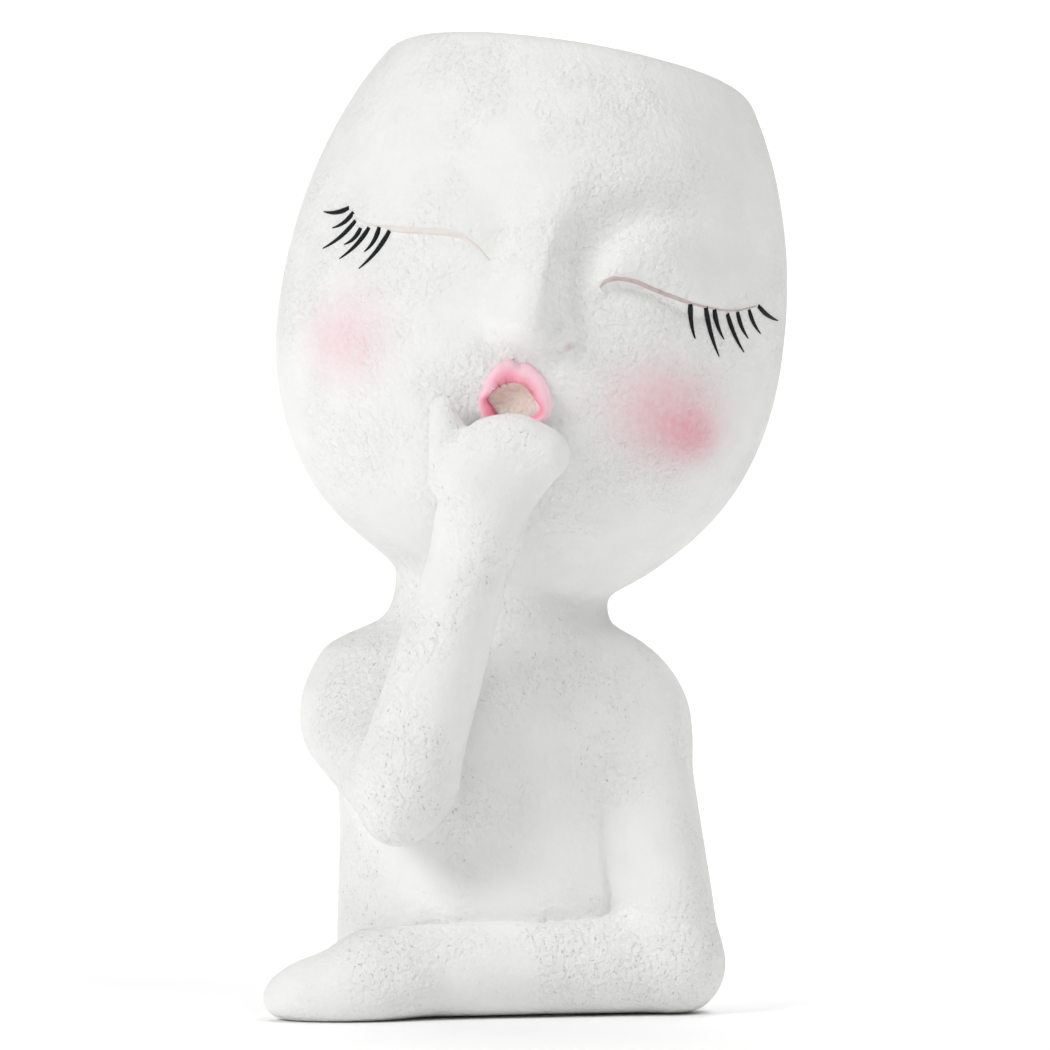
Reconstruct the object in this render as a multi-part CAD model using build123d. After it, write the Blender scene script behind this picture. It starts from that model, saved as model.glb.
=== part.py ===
from build123d import *
import os
from math import atan2, cos, degrees, hypot, pi, radians, sin, sqrt, tan

# Head planter: a cast bust of a doll-like girl who blows a kiss.
# The hollow head is the pot, and its drain runs down through the neck and the solid bust.
# Millimetres; +Z up, the face looks to -Y, and the origin is under the middle of the whole object.

os.makedirs("parts", exist_ok=True)

# Head pot, in its own tilted frame: u to the right of the picture, v up from the neck joint
HEAD_WIDTH = 126.2
HEAD_DEPTH = 105.0
HEAD_HEIGHT = 131.0
HEAD_TILT = 9.0
HEAD_SIDE_SHIFT = 3.0
HEAD_WIDEST_AT = 65.5
CROWN_SEMI_HEIGHT = 92.5
JAW_SEMI_HEIGHT = 66.3
JAW_EXPONENT = 2.15
POT_WALL = 7.0
POT_FLOOR_AT = 14.0
POT_FLOOR_RADIUS = 25.0
RIM_TILT = 8.0
RIM_RADIUS = 2.6
RIM_STEPS = 3

# Neck, with the spigot under the head and its socket in the bust
NECK_X = -7.1
NECK_Y = 7.0
NECK_Z = 102.5
NECK_WIDTH = 52.8
NECK_DEPTH = 45.0
NECK_BLEND_EXPONENT = 8.0
SPIGOT_RADIUS = 15.0
SPIGOT_LENGTH = 8.0
BOND_GAP = 0.2

# Drain with its lift-out plug
DRAIN_RADIUS = 6.0
PLUG_FLANGE_RADIUS = 10.0
PLUG_FLANGE_THICKNESS = 2.4
PLUG_SEAT_DEPTH = 1.2
PLUG_STEM_LENGTH = 9.0
PLUG_KNOB_RADIUS = 4.0
PLUG_KNOB_NECK_RADIUS = 2.6
PLUG_KNOB_HEIGHT = 6.5
PLUG_FIT_GAP = 0.1
PLUG_SEAT_GAP = 0.3

# Bust without its arms
TORSO_X = -6.2
TORSO_Y = 7.0
TORSO_WIDTH = 83.6
TORSO_DEPTH = 65.0
SHOULDER_SHIFT = 4.0
SHOULDER_AT_SHARE = 0.87
SHOULDER_SPAN_SHARE = 0.16

# Face, in its own frame: p to the right of the picture, q up from the eye line, r forward
FACE_ROLL = 6.0
FACE_U = -1.9
FACE_V = 78.7
EYE_SPACING = 65.0
EYE_TURN = 27.0
SOCKET_WIDTH = 54.0
SOCKET_HEIGHT = 42.0
SOCKET_RISE = 8.0
SOCKET_CUT = 3.2
SOCKET_REACH = 10.0
LID_WIDTH = 44.0
LID_HEIGHT = 30.0
LID_RISE = 2.5
LID_SWELL = 2.6
LID_REACH = 9.0
LID_LINE_INNER = 14.5
LID_LINE_OUTER = 51.5
LID_LINE_WIDTH = 1.5
NOSE_P = 0.3
BRIDGE_Q = -2.0
BRIDGE_WIDTH = 15.0
BRIDGE_HEIGHT = 42.0
BRIDGE_SWELL = 5.0
BRIDGE_LEAN = 10.0
NOSE_Q = -10.0
NOSE_WIDTH = 23.0
NOSE_HEIGHT = 24.0
NOSE_SWELL = 8.2
NOSE_TIP_Q = -13.5
NOSE_TIP_WIDTH = 17.0
NOSE_TIP_HEIGHT = 12.5
NOSE_TIP_SWELL = 11.0
NOSTRIL_SPACING = 15.6
NOSTRIL_Q = -15.6
NOSTRIL_WIDTH = 8.6
NOSTRIL_HEIGHT = 8.4
NOSTRIL_SWELL = 6.5
NOSE_BURY = 3.0
MOUTH_P = 1.0
MOUTH_Q = -30.6
LIPS_WIDTH = 17.8
LIPS_HEIGHT = 17.2
LIPS_BAND = 4.2
LIPS_REACH = 3.2
LIPS_CHAMFER = 1.3
LIPS_BURY = 1.5
LIPS_PEAK_RADIUS = 2.4
LIPS_SIDE_RADIUS = 3.6
LIPS_LOWER_RADIUS = 4.4
MOUTH_DISH_DEPTH = 2.0
MOUTH_DISH_EDGE = 0.5
PAINT_THICKNESS = 0.5
LASH_ROOT_WIDTH = 1.1
LASH_TIP_WIDTH = 0.3
LASH_BOW = 0.7

# Raised arm and its hand
RAISED_SHOULDER = Vector(-38.2, 6.0, 71.5)
RAISED_SHOULDER_RADIUS = 19.2
RAISED_ELBOW = Vector(-30.8, -33.0, 53.9)
RAISED_ELBOW_RADIUS = 12.6
RAISED_WRIST = Vector(-12.9, -41.5, 116.5)
RAISED_WRIST_RADIUS = 10.0
HAND_CENTRE = Vector(-6.2, -48.5, 131.0)
HAND_WIDTH = 34.5
HAND_THICKNESS = 17.0
HAND_LENGTH = 31.0
HAND_ROLL = 17.0
HAND_LEAN = 14.0
THUMB_ROOT = Vector(-17.0, -50.0, 131.5)
THUMB_TIP = Vector(-20.2, -50.5, 144.5)
THUMB_ROOT_RADIUS = 5.6
THUMB_TIP_RADIUS = 4.0

# Resting arm, laid along the front of the base
RESTING_SHOULDER = Vector(20.6, 5.5, 70.5)
RESTING_SHOULDER_RADIUS = 18.0
RESTING_ELBOW = Vector(34.4, -14.0, 12.3)
RESTING_ELBOW_RADIUS = 12.8
RESTING_UPPER_ARM_RADIUS = 12.6
RESTING_WRIST = Vector(-37.5, -30.0, 10.9)
RESTING_WRIST_RADIUS = 11.4
RESTING_HAND_CENTRE = Vector(-43.5, -33.0, 7.4)
RESTING_HAND_LENGTH = 42.0
RESTING_HAND_WIDTH = 22.0
RESTING_HAND_THICKNESS = 20.0
RESTING_HAND_DIP = 7.0

# Locating pegs cast on both arms
PEG_RADIUS = 4.0
PEG_REACH_SHARE = 0.85

# A limb is this share slimmer than the ball of the joint it starts from
LIMB_SHARE = 0.975

# The cast forms are built of flat facets, so that their meshes stay light:
# how many go round a large and a small form, and how many bands a small one has from end to end
LARGE_SIDES = 44
SMALL_SIDES = 24
SMALL_BANDS = 12

# How many straight pieces make a curve of the lid line, of a lash and of the lips
LID_LINE_PIECES = 12
LASH_PIECES = 4
LIPS_PIECES = 44

# Corners this near to one plane, or to each other, count as in it, or as one
FLATNESS = 0.000001

# How often the height of a tilted section is worked out again, each time nearer
RIM_PASSES = 12

# How far a cutter runs past what it cuts
OVERRUN = 1.0

# A form that stands on its own origin, and one that hangs from it
STANDING = (Align.CENTER, Align.CENTER, Align.MIN)
HANGING = (Align.CENTER, Align.CENTER, Align.MAX)

HEAD_LEAN = radians(HEAD_TILT)
HEAD = Plane(
    origin=(NECK_X, NECK_Y, NECK_Z),
    x_dir=(cos(HEAD_LEAN), 0, -sin(HEAD_LEAN)),
    z_dir=(sin(HEAD_LEAN), 0, cos(HEAD_LEAN)),
)
FACE_LEAN = radians(HEAD_TILT + FACE_ROLL)
FACE = Plane(
    origin=HEAD.from_local_coords((FACE_U, 0, FACE_V)),
    x_dir=(cos(FACE_LEAN), 0, -sin(FACE_LEAN)),
    z_dir=(0, -1, 0),
)


def oval(plane, x_radius, y_radius, sides):
    """Points round an oval on a plane."""
    turns = [2 * pi * side / sides for side in range(sides)]
    return [plane.from_local_coords(Vector(x_radius * cos(turn), y_radius * sin(turn))) for turn in turns]


def flat(*corners):
    """A flat facet between its corners."""
    return Face(Wire.make_polygon(corners))


def facets(a, b, c, d):
    """The flat facets between four corners: two where the corners don't lie in one plane."""
    if (b - a).length < FLATNESS:
        return [flat(a, c, d)]
    if (d - c).length < FLATNESS:
        return [flat(a, b, c)]
    if abs((b - a).cross(c - a).normalized().dot(d - a)) < FLATNESS:
        return [flat(a, b, c, d)]
    return [flat(a, b, c), flat(a, c, d)]


def bands(rings):
    """The facets between each ring of points and the next."""
    faces = []
    for lower, upper in zip(rings, rings[1:]):
        for index in range(len(lower)):
            faces += facets(lower[index - 1], lower[index], upper[index], upper[index - 1])
    return faces


def faceted(rings):
    """A solid through rings with equally many points, closed flat at both ends."""
    ends = [flat(*rings[0]), flat(*rings[-1])]
    return Solid(Shell(bands(rings) + ends))


def ellipsoid(x_radius, y_radius, z_radius):
    """An ellipsoid about the origin, in flat facets."""
    rings = []
    for band in range(SMALL_BANDS + 1):
        turn = pi * band / SMALL_BANDS
        level = Plane.XY.offset(-z_radius * cos(turn))
        rings.append(oval(level, x_radius * sin(turn), y_radius * sin(turn), SMALL_SIDES))
    return Solid(Shell(bands(rings)))


def head_half_width(v):
    """Half the head's width at height v: an egg that runs out into the neck."""
    share = (v - HEAD_WIDEST_AT) / (CROWN_SEMI_HEIGHT if v > HEAD_WIDEST_AT else JAW_SEMI_HEIGHT)
    power = 2 if share > 0 else JAW_EXPONENT
    egg = HEAD_WIDTH / 2 * max(1 - abs(share) ** power, 0) ** (1 / power)
    if share > 0:
        return egg
    neck = NECK_WIDTH / 2
    return (egg**NECK_BLEND_EXPONENT + neck**NECK_BLEND_EXPONENT) ** (1 / NECK_BLEND_EXPONENT)


def head_half_depth(v):
    """Half the head's depth at height v, from the neck's round section to the head's oval one."""
    head_ratio = HEAD_DEPTH / HEAD_WIDTH
    neck_ratio = NECK_DEPTH / NECK_WIDTH
    share = min(v / POT_FLOOR_AT, 1)
    return head_half_width(v) * (neck_ratio + (head_ratio - neck_ratio) * share)


def head_side(v):
    """Where the head's own middle lies at height v, beside the neck's axis."""
    return -HEAD_SIDE_SHIFT * min(max(v, 0) / POT_FLOOR_AT, 1)


def head_station(v):
    """The plane across the head at height v, on the head's own middle."""
    return Plane(HEAD.location * Location((head_side(v), 0, v)))


def wall_inset(v):
    """How much less the bowl's radii are than the head's at height v, for an even wall."""
    rise = head_half_width(v + OVERRUN) - head_half_width(v - OVERRUN)
    return POT_WALL * hypot(1, rise / (2 * OVERRUN))


def head_section(v, inset=0):
    """The oval across the head at height v, set in all round."""
    return oval(head_station(v), head_half_width(v) - inset, head_half_depth(v) - inset, LARGE_SIDES)


def rim_section(depth, inset):
    """The oval across the head on a plane parallel to the tilted rim, so far below it, set in all round."""
    corners = []
    fall = tan(radians(RIM_TILT))
    for side in range(LARGE_SIDES):
        turn = 2 * pi * side / LARGE_SIDES
        v = HEAD_HEIGHT
        for _ in range(RIM_PASSES):
            v = HEAD_HEIGHT - depth - (head_half_depth(v) - inset) * sin(turn) * fall
        across = head_side(v) + (head_half_width(v) - inset) * cos(turn)
        corners.append(HEAD.from_local_coords(Vector(across, (head_half_depth(v) - inset) * sin(turn), v)))
    return corners


def rim_rounding():
    """Steps down and aside that round an edge of the rim, from the wall up to the flat top."""
    turns = [pi / 2 * step / RIM_STEPS for step in range(RIM_STEPS + 1)]
    return [(RIM_RADIUS * (1 - sin(turn)), RIM_RADIUS * (1 - cos(turn))) for turn in turns]


def head_solid():
    """The head and the upper half of the neck as one block, with a flat tilted top rounded at its edge."""
    station_shares = (0, 0.04, 0.08, 0.13, 0.19, 0.27, 0.37, 0.48, 0.59, 0.7, 0.8, 0.89)
    sections = [head_section(share * HEAD_HEIGHT) for share in station_shares]
    sections += [rim_section(down, aside) for down, aside in rim_rounding()]
    return faceted(sections)


def pot_cavity():
    """The bowl inside the head: the outer form set in by the wall, from a flat floor up through the rim."""
    station_shares = (0.16, 0.23, 0.33, 0.46, 0.6, 0.74, 0.86)
    floor_depth = POT_FLOOR_RADIUS * HEAD_DEPTH / HEAD_WIDTH
    sections = [oval(head_station(POT_FLOOR_AT), POT_FLOOR_RADIUS, floor_depth, LARGE_SIDES)]
    for share in station_shares:
        v = share * HEAD_HEIGHT
        sections.append(head_section(v, wall_inset(v)))
    wall = wall_inset(HEAD_HEIGHT)
    sections += [rim_section(down, wall - aside) for down, aside in rim_rounding()]
    return faceted(sections + [rim_section(-OVERRUN, wall - RIM_RADIUS)])


def face_reach(p, q):
    """How far the plain head stands forward of its middle at a point of the face."""
    turn = radians(FACE_ROLL)
    u = FACE_U + p * cos(turn) + q * sin(turn)
    v = FACE_V - p * sin(turn) + q * cos(turn)
    share = (u - head_side(v)) / head_half_width(v)
    return head_half_depth(v) * sqrt(max(1 - share**2, 0))


def on_face(p, q, r):
    """A location on the face's own frame, r forward of the head's middle."""
    return FACE.location * Location((p, q, r))


def eye_form(side, width, height, rise, swell, reach):
    """An ellipsoid turned to lie along the face at one eye, standing swell proud of the plain head."""
    p = side * EYE_SPACING / 2
    depth = face_reach(p, rise) + swell - reach
    return on_face(p, rise, depth) * Rot(0, side * EYE_TURN, 0) * ellipsoid(width / 2, height / 2, reach)


def lid_line(side):
    """The closed lid's edge at one eye, as points from the nose outwards."""
    span = LID_LINE_OUTER - LID_LINE_INNER
    drop_shares = ((0, -0.02), (0.12, 0.055), (0.35, 0.06), (0.62, 0.01), (0.82, 0.035), (1, 0.12))
    return [(side * (LID_LINE_INNER + share * span), drop * span) for share, drop in drop_shares]


def straightened(curve, pieces):
    """A smooth curve as a row of straight pieces."""
    return Polyline(*[curve @ (piece / pieces) for piece in range(pieces + 1)])


def upper_lid(side):
    """The closed upper lid: a low dome that ends at the lid line."""
    dome = eye_form(side, LID_WIDTH, LID_HEIGHT, LID_RISE, LID_SWELL, LID_REACH)
    line = lid_line(side)
    first, last = line[0], line[-1]
    top = LID_HEIGHT
    beyond = side * SOCKET_WIDTH / 2
    edges = [
        straightened(Spline(*line), LID_LINE_PIECES),
        Polyline(last, (last[0] + beyond, last[1]), (last[0] + beyond, top), (first[0] - beyond, top)),
        Polyline((first[0] - beyond, top), (first[0] - beyond, first[1]), first),
    ]
    above = extrude(FACE * make_face(edges), HEAD_DEPTH)
    return dome & above


def face_swell(p, q, width, height, reach, swell, lean=0):
    """An ellipsoid bedded in the face at a point, standing swell proud of the plain head."""
    depth = face_reach(p, q) + swell - reach
    return on_face(p, q, depth) * Rot(lean, 0, 0) * ellipsoid(width / 2, height / 2, reach)


def nose_forms():
    """The ridge, the middle, the tip and the two nostril wings of the nose."""
    sizes = [
        (0, BRIDGE_Q, BRIDGE_WIDTH, BRIDGE_HEIGHT, BRIDGE_SWELL, BRIDGE_LEAN),
        (0, NOSE_Q, NOSE_WIDTH, NOSE_HEIGHT, NOSE_SWELL, 0),
        (0, NOSE_TIP_Q, NOSE_TIP_WIDTH, NOSE_TIP_HEIGHT, NOSE_TIP_SWELL, 0),
    ]
    for side in (-1, 1):
        beside = side * NOSTRIL_SPACING / 2
        sizes.append((beside, NOSTRIL_Q, NOSTRIL_WIDTH, NOSTRIL_HEIGHT, NOSTRIL_SWELL, 0))
    forms = []
    for beside, q, width, height, swell, lean in sizes:
        forms.append(face_swell(NOSE_P + beside, q, width, height, swell + NOSE_BURY, swell, lean))
    return forms


def mouth_place():
    """The middle of the mouth, turned to lie flat on the face there."""
    half = LIPS_HEIGHT / 2
    fall = face_reach(MOUTH_P, MOUTH_Q + half) - face_reach(MOUTH_P, MOUTH_Q - half)
    lean = degrees(atan2(fall, LIPS_HEIGHT))
    return on_face(MOUTH_P, MOUTH_Q, face_reach(MOUTH_P, MOUTH_Q)) * Rot(-lean, 0, 0)


def lips_line():
    """The middle line of the lips, round the pout, with the dip of the upper lip."""
    half, rise = (LIPS_WIDTH - LIPS_BAND) / 2, (LIPS_HEIGHT - LIPS_BAND) / 2
    corner_shares = (
        (0, 0.8),
        (0.42, 1.08),
        (1.08, 0.28),
        (0.78, -1),
        (-0.78, -1),
        (-1.08, 0.28),
        (-0.42, 1.08),
    )
    corners = [(half * across, rise * up) for across, up in corner_shares]
    radii = [LIPS_PEAK_RADIUS] * 2 + [LIPS_SIDE_RADIUS] + [LIPS_LOWER_RADIUS] * 2
    radii += [LIPS_SIDE_RADIUS, LIPS_PEAK_RADIUS]
    return FilletPolyline(*corners, radius=radii, close=True)


def lips_solid():
    """The band of the lips, with both its front edges sloped off."""
    line = lips_line()
    half = LIPS_BAND / 2
    profile = [
        (-half, -LIPS_BURY),
        (half, -LIPS_BURY),
        (half, LIPS_REACH - LIPS_CHAMFER),
        (half - LIPS_CHAMFER, LIPS_REACH),
        (LIPS_CHAMFER - half, LIPS_REACH),
        (-half, LIPS_REACH - LIPS_CHAMFER),
    ]
    spots = [line @ (piece / LIPS_PIECES) for piece in range(LIPS_PIECES)]
    rings = []
    for before, spot, after in zip(spots[-1:] + spots[:-1], spots, spots[1:] + spots[:1]):
        along = after - before
        section = Plane(origin=spot, x_dir=(-along.Y, along.X, 0), z_dir=along)
        rings.append([section.from_local_coords(Vector(*corner)) for corner in profile])
    return mouth_place() * Solid(Shell(bands(rings + rings[:1])))


def lash_strokes(side):
    """Seven tapering strokes that fan out from the outer part of the lid line."""
    span = LID_LINE_OUTER - LID_LINE_INNER
    stroke_shares = (
        (0.63, -0.02, 0.06, -0.215),
        (0.72, -0.01, 0.1, -0.35),
        (0.78, 0, 0.1, -0.22),
        (0.84, 0.007, 0.14, -0.297),
        (0.89, 0.02, 0.15, -0.18),
        (0.94, 0.045, 0.17, -0.135),
        (0.98, 0.075, 0.19, -0.035),
    )
    strokes = Sketch()
    for root, rise, across, drop in stroke_shares:
        start = Vector(side * (LID_LINE_INNER + root * span), rise * span)
        end = start + Vector(side * across * span, drop * span)
        along = (end - start).normalized()
        beside = Vector(-along.Y, along.X) * side
        middle = (start + end) / 2 - beside * LASH_BOW
        root_step = beside * LASH_ROOT_WIDTH / 2
        tip_step = beside * LASH_TIP_WIDTH / 2
        waist_step = (root_step + tip_step) / 2
        first_side = Spline(start + root_step, middle + waist_step, end + tip_step)
        second_side = Spline(end - tip_step, middle - waist_step, start - root_step)
        edges = [
            straightened(first_side, LASH_PIECES),
            Line(end + tip_step, end - tip_step),
            straightened(second_side, LASH_PIECES),
            Line(start - root_step, start + root_step),
        ]
        strokes += make_face(edges)
    return strokes


def lid_stroke(side):
    """The painted line under the lid's edge, which runs out thin at both ends."""
    line = lid_line(side)
    drop_shares = (0.1, 0.8, 1, 0.8, 0.6, 0.1)
    lower = [(p, q - LID_LINE_WIDTH * share) for (p, q), share in zip(line, drop_shares)]
    edges = [
        straightened(Spline(*line), LID_LINE_PIECES),
        Line(line[-1], lower[-1]),
        straightened(Spline(*reversed(lower)), LID_LINE_PIECES),
        Line(lower[0], line[0]),
    ]
    return make_face(edges)


def paint_on(head, sketch):
    """A film of paint with the sketch's outline, bedded on the face, without its crumbs."""
    prism = extrude(FACE * sketch, HEAD_DEPTH)
    film = (prism & head.moved(Location((0, -PAINT_THICKNESS, 0)))) - head
    return Part() + [solid for solid in film.solids() if solid.volume > PAINT_THICKNESS**3]


def limb(start, start_radius, end, end_radius):
    """A straight tapering limb between the balls of two joints."""
    axis = end - start
    ends = []
    for centre, radius in ((start, start_radius), (end, end_radius)):
        slim = radius * LIMB_SHARE
        ends.append(oval(Plane(origin=centre, z_dir=axis), slim, slim, SMALL_SIDES))
    return faceted(ends)


def ball(centre, radius):
    """A ball about a point, in flat facets."""
    return Pos(centre) * ellipsoid(radius, radius, radius)


def raised_arm_solid():
    """The arm that holds its hand up to the mouth, before it is fitted to the bust and the face."""
    body = limb(RAISED_SHOULDER, RAISED_SHOULDER_RADIUS, RAISED_ELBOW, RAISED_ELBOW_RADIUS)
    body += ball(RAISED_SHOULDER, RAISED_SHOULDER_RADIUS)
    body += ball(RAISED_ELBOW, RAISED_ELBOW_RADIUS)
    body += limb(RAISED_ELBOW, RAISED_ELBOW_RADIUS, RAISED_WRIST, RAISED_WRIST_RADIUS)
    body += ball(RAISED_WRIST, RAISED_WRIST_RADIUS)
    hand = Pos(HAND_CENTRE) * Rot(0, HAND_ROLL, 0) * Rot(HAND_LEAN, 0, 0)
    swell_shares = ((0, 1, 1, 1), (0.24, 0.9, 0.96, 0.56), (-0.2, 0.8, 0.98, 0.62))
    for up, across, through, along in swell_shares:
        half = (HAND_WIDTH / 2 * across, HAND_THICKNESS / 2 * through, HAND_LENGTH / 2 * along)
        body += hand * Pos(0, 0, HAND_LENGTH * up) * ellipsoid(*half)
    body += limb(THUMB_ROOT, THUMB_ROOT_RADIUS, THUMB_TIP, THUMB_TIP_RADIUS)
    return body + ball(THUMB_TIP, THUMB_TIP_RADIUS)


def resting_arm_solid():
    """The arm that lies along the front of the base, before it is fitted to the bust."""
    body = limb(RESTING_SHOULDER, RESTING_SHOULDER_RADIUS, RESTING_ELBOW, RESTING_UPPER_ARM_RADIUS)
    body += ball(RESTING_SHOULDER, RESTING_SHOULDER_RADIUS)
    body += ball(RESTING_ELBOW, RESTING_ELBOW_RADIUS)
    body += limb(RESTING_ELBOW, RESTING_ELBOW_RADIUS, RESTING_WRIST, RESTING_WRIST_RADIUS)
    body += ball(RESTING_WRIST, RESTING_WRIST_RADIUS)
    half = (RESTING_HAND_LENGTH / 2, RESTING_HAND_WIDTH / 2, RESTING_HAND_THICKNESS / 2)
    return body + Pos(RESTING_HAND_CENTRE) * Rot(0, -RESTING_HAND_DIP, 0) * ellipsoid(*half)


def torso_solid():
    """The bust with the lower half of the neck: ovals up from the foot to the tilted neck joint."""
    section_shares = (
        (0, 0.935, 0.9),
        (0.03, 0.985, 0.965),
        (0.12, 1, 1),
        (0.26, 0.995, 0.97),
        (0.42, 0.985, 0.86),
        (0.56, 1, 0.88),
        (0.69, 1.04, 0.97),
        (0.78, 1, 0.91),
        (0.86, 0.91, 0.82),
        (0.93, 0.71, 0.73),
    )
    sections = []
    for height_share, width_share, depth_share in section_shares:
        side = SHOULDER_SHIFT * max(0, 1 - abs(height_share - SHOULDER_AT_SHARE) / SHOULDER_SPAN_SHARE)
        level = Plane(origin=(TORSO_X - side, TORSO_Y, height_share * NECK_Z))
        width, depth = TORSO_WIDTH * width_share, TORSO_DEPTH * depth_share
        sections.append(oval(level, width / 2, depth / 2, LARGE_SIDES))
    sections.append(oval(HEAD, NECK_WIDTH / 2, NECK_DEPTH / 2, LARGE_SIDES))
    return faceted(sections)


def make_head(outer):
    """The head pot: face, bowl, rim, drain seat and the spigot that plugs into the neck."""
    body = outer
    above = 2 * SOCKET_REACH - SOCKET_CUT
    for side in (-1, 1):
        body -= eye_form(side, SOCKET_WIDTH, SOCKET_HEIGHT, SOCKET_RISE, above, SOCKET_REACH)
    for side in (-1, 1):
        body += upper_lid(side)
    for form in nose_forms():
        body += form
    edge = LIPS_BAND + MOUTH_DISH_EDGE
    body -= mouth_place() * ellipsoid(LIPS_WIDTH / 2 - edge, LIPS_HEIGHT / 2 - edge, MOUTH_DISH_DEPTH)
    body -= pot_cavity()
    along = HEAD.location
    body += along * Cylinder(SPIGOT_RADIUS, SPIGOT_LENGTH, align=HANGING)
    bore_length = SPIGOT_LENGTH + POT_FLOOR_AT + 2 * OVERRUN
    bore_start = Location((0, 0, -SPIGOT_LENGTH - OVERRUN))
    body -= along * bore_start * Cylinder(DRAIN_RADIUS, bore_length, align=STANDING)
    seat = Cylinder(PLUG_FLANGE_RADIUS + PLUG_SEAT_GAP, PLUG_SEAT_DEPTH + OVERRUN, align=STANDING)
    return body - along * Location((0, 0, POT_FLOOR_AT - PLUG_SEAT_DEPTH)) * seat


def make_torso(outer):
    """The solid bust with the neck socket, the drain bore and the arms' peg holes."""
    socket_depth = SPIGOT_LENGTH + BOND_GAP
    socket = Cylinder(SPIGOT_RADIUS + BOND_GAP, socket_depth + OVERRUN, align=STANDING)
    body = outer - HEAD.location * Location((0, 0, -socket_depth)) * socket
    outlet = drain_axis()
    bore = Cylinder(DRAIN_RADIUS, outlet.Z + 2 * OVERRUN, align=STANDING)
    body -= Pos(outlet.X, outlet.Y, -OVERRUN) * bore
    body -= arm_peg(RAISED_SHOULDER, RAISED_ELBOW, BOND_GAP)
    return body - arm_peg(RESTING_SHOULDER, RESTING_ELBOW, BOND_GAP)


def drain_axis():
    """The middle of the neck socket's floor, from which the drain runs straight down."""
    return HEAD.from_local_coords(Vector(0, 0, -SPIGOT_LENGTH - BOND_GAP))


def arm_peg(shoulder, elbow, gap=0):
    """The peg on an upper arm's axis, from deep in the bust into the arm, or its hole with a gap."""
    axis = elbow - shoulder
    length = axis.length * PEG_REACH_SHARE
    peg = Cylinder(PEG_RADIUS + gap, length + gap, align=STANDING)
    return Plane(origin=shoulder, z_dir=axis) * Location((0, 0, -gap)) * peg


def make_plug():
    """The soft plug: a round stem, a flange on the seat and a pull knob."""
    stem_radius = DRAIN_RADIUS - PLUG_FIT_GAP
    neck_height = PLUG_KNOB_HEIGHT - PLUG_KNOB_RADIUS
    top = PLUG_FLANGE_THICKNESS + PLUG_KNOB_HEIGHT
    profile = Polyline(
        (0, -PLUG_STEM_LENGTH),
        (stem_radius, -PLUG_STEM_LENGTH),
        (stem_radius, 0),
        (PLUG_FLANGE_RADIUS, 0),
        (PLUG_FLANGE_RADIUS, PLUG_FLANGE_THICKNESS),
        (PLUG_KNOB_NECK_RADIUS, PLUG_FLANGE_THICKNESS),
        (PLUG_KNOB_NECK_RADIUS, PLUG_FLANGE_THICKNESS + neck_height),
        (PLUG_KNOB_RADIUS, PLUG_FLANGE_THICKNESS + neck_height),
        (PLUG_KNOB_RADIUS, top),
        (0, top),
        close=True,
    )
    body = revolve(Plane.XZ * make_face(profile), Axis.Z)
    seat = Location((0, 0, POT_FLOOR_AT - PLUG_SEAT_DEPTH))
    return HEAD.location * seat * body


def above_floor(body):
    """The body cut off flat where it stands."""
    size = 2 * HEAD_WIDTH
    return body - Box(size, size, size, align=HANGING)


def main():
    """Builds every piece and writes one file for each."""
    torso_outer = torso_solid()
    head = make_head(head_solid())
    lips = max((lips_solid() - head).solids(), key=lambda solid: solid.volume)
    raised = raised_arm_solid() - torso_outer - head - lips
    raised += arm_peg(RAISED_SHOULDER, RAISED_ELBOW)
    resting = above_floor(resting_arm_solid() - torso_outer)
    resting += arm_peg(RESTING_SHOULDER, RESTING_ELBOW)
    pieces = {
        "head_pot": head,
        "torso": make_torso(torso_outer),
        "raised_arm": raised,
        "resting_arm": resting,
        "lips": lips,
        "drain_plug": make_plug(),
    }
    for side, name in ((-1, "right"), (1, "left")):
        pieces[f"{name}_lid_line"] = paint_on(head, lid_stroke(side))
        pieces[f"{name}_lashes"] = paint_on(head, lash_strokes(side) - lid_stroke(side))
    for name, piece in pieces.items():
        export_step(piece, f"parts/{name}.step")
        print(name, len(piece.solids()), round(piece.volume))


main()
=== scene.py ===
import logging
import math
from dataclasses import dataclass
from enum import Enum
from typing import Callable

import bmesh
import bpy
import numpy as np
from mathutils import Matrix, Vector


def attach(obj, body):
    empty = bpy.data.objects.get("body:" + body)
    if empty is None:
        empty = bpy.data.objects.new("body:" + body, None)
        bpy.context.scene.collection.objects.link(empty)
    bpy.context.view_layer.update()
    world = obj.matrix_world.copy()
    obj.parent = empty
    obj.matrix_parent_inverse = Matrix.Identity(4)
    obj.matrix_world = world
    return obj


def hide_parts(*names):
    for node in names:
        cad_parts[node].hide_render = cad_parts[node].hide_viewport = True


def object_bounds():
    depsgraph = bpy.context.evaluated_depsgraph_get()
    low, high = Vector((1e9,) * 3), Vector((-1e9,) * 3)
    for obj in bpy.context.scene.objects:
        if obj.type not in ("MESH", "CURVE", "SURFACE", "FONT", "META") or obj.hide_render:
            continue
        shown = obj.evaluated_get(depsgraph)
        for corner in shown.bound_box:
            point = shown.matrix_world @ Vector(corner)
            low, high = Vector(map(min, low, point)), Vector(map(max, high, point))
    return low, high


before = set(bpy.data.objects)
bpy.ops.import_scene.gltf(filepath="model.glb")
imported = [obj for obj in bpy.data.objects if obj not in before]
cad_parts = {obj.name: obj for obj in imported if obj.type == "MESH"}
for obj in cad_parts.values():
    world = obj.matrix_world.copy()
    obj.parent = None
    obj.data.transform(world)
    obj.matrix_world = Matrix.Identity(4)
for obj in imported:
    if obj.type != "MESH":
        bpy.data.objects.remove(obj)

# The head planter: a white cast bust of a doll-like girl whose hollow head is the pot.
# Sizes are in millimetres in the part's own frame: x to the right of the picture, z up, the face to -y.
# Blender's metres come from them only where a mesh is written.

LOG = logging.getLogger("head_planter")
MM = 0.001
CAD_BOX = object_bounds()

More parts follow.
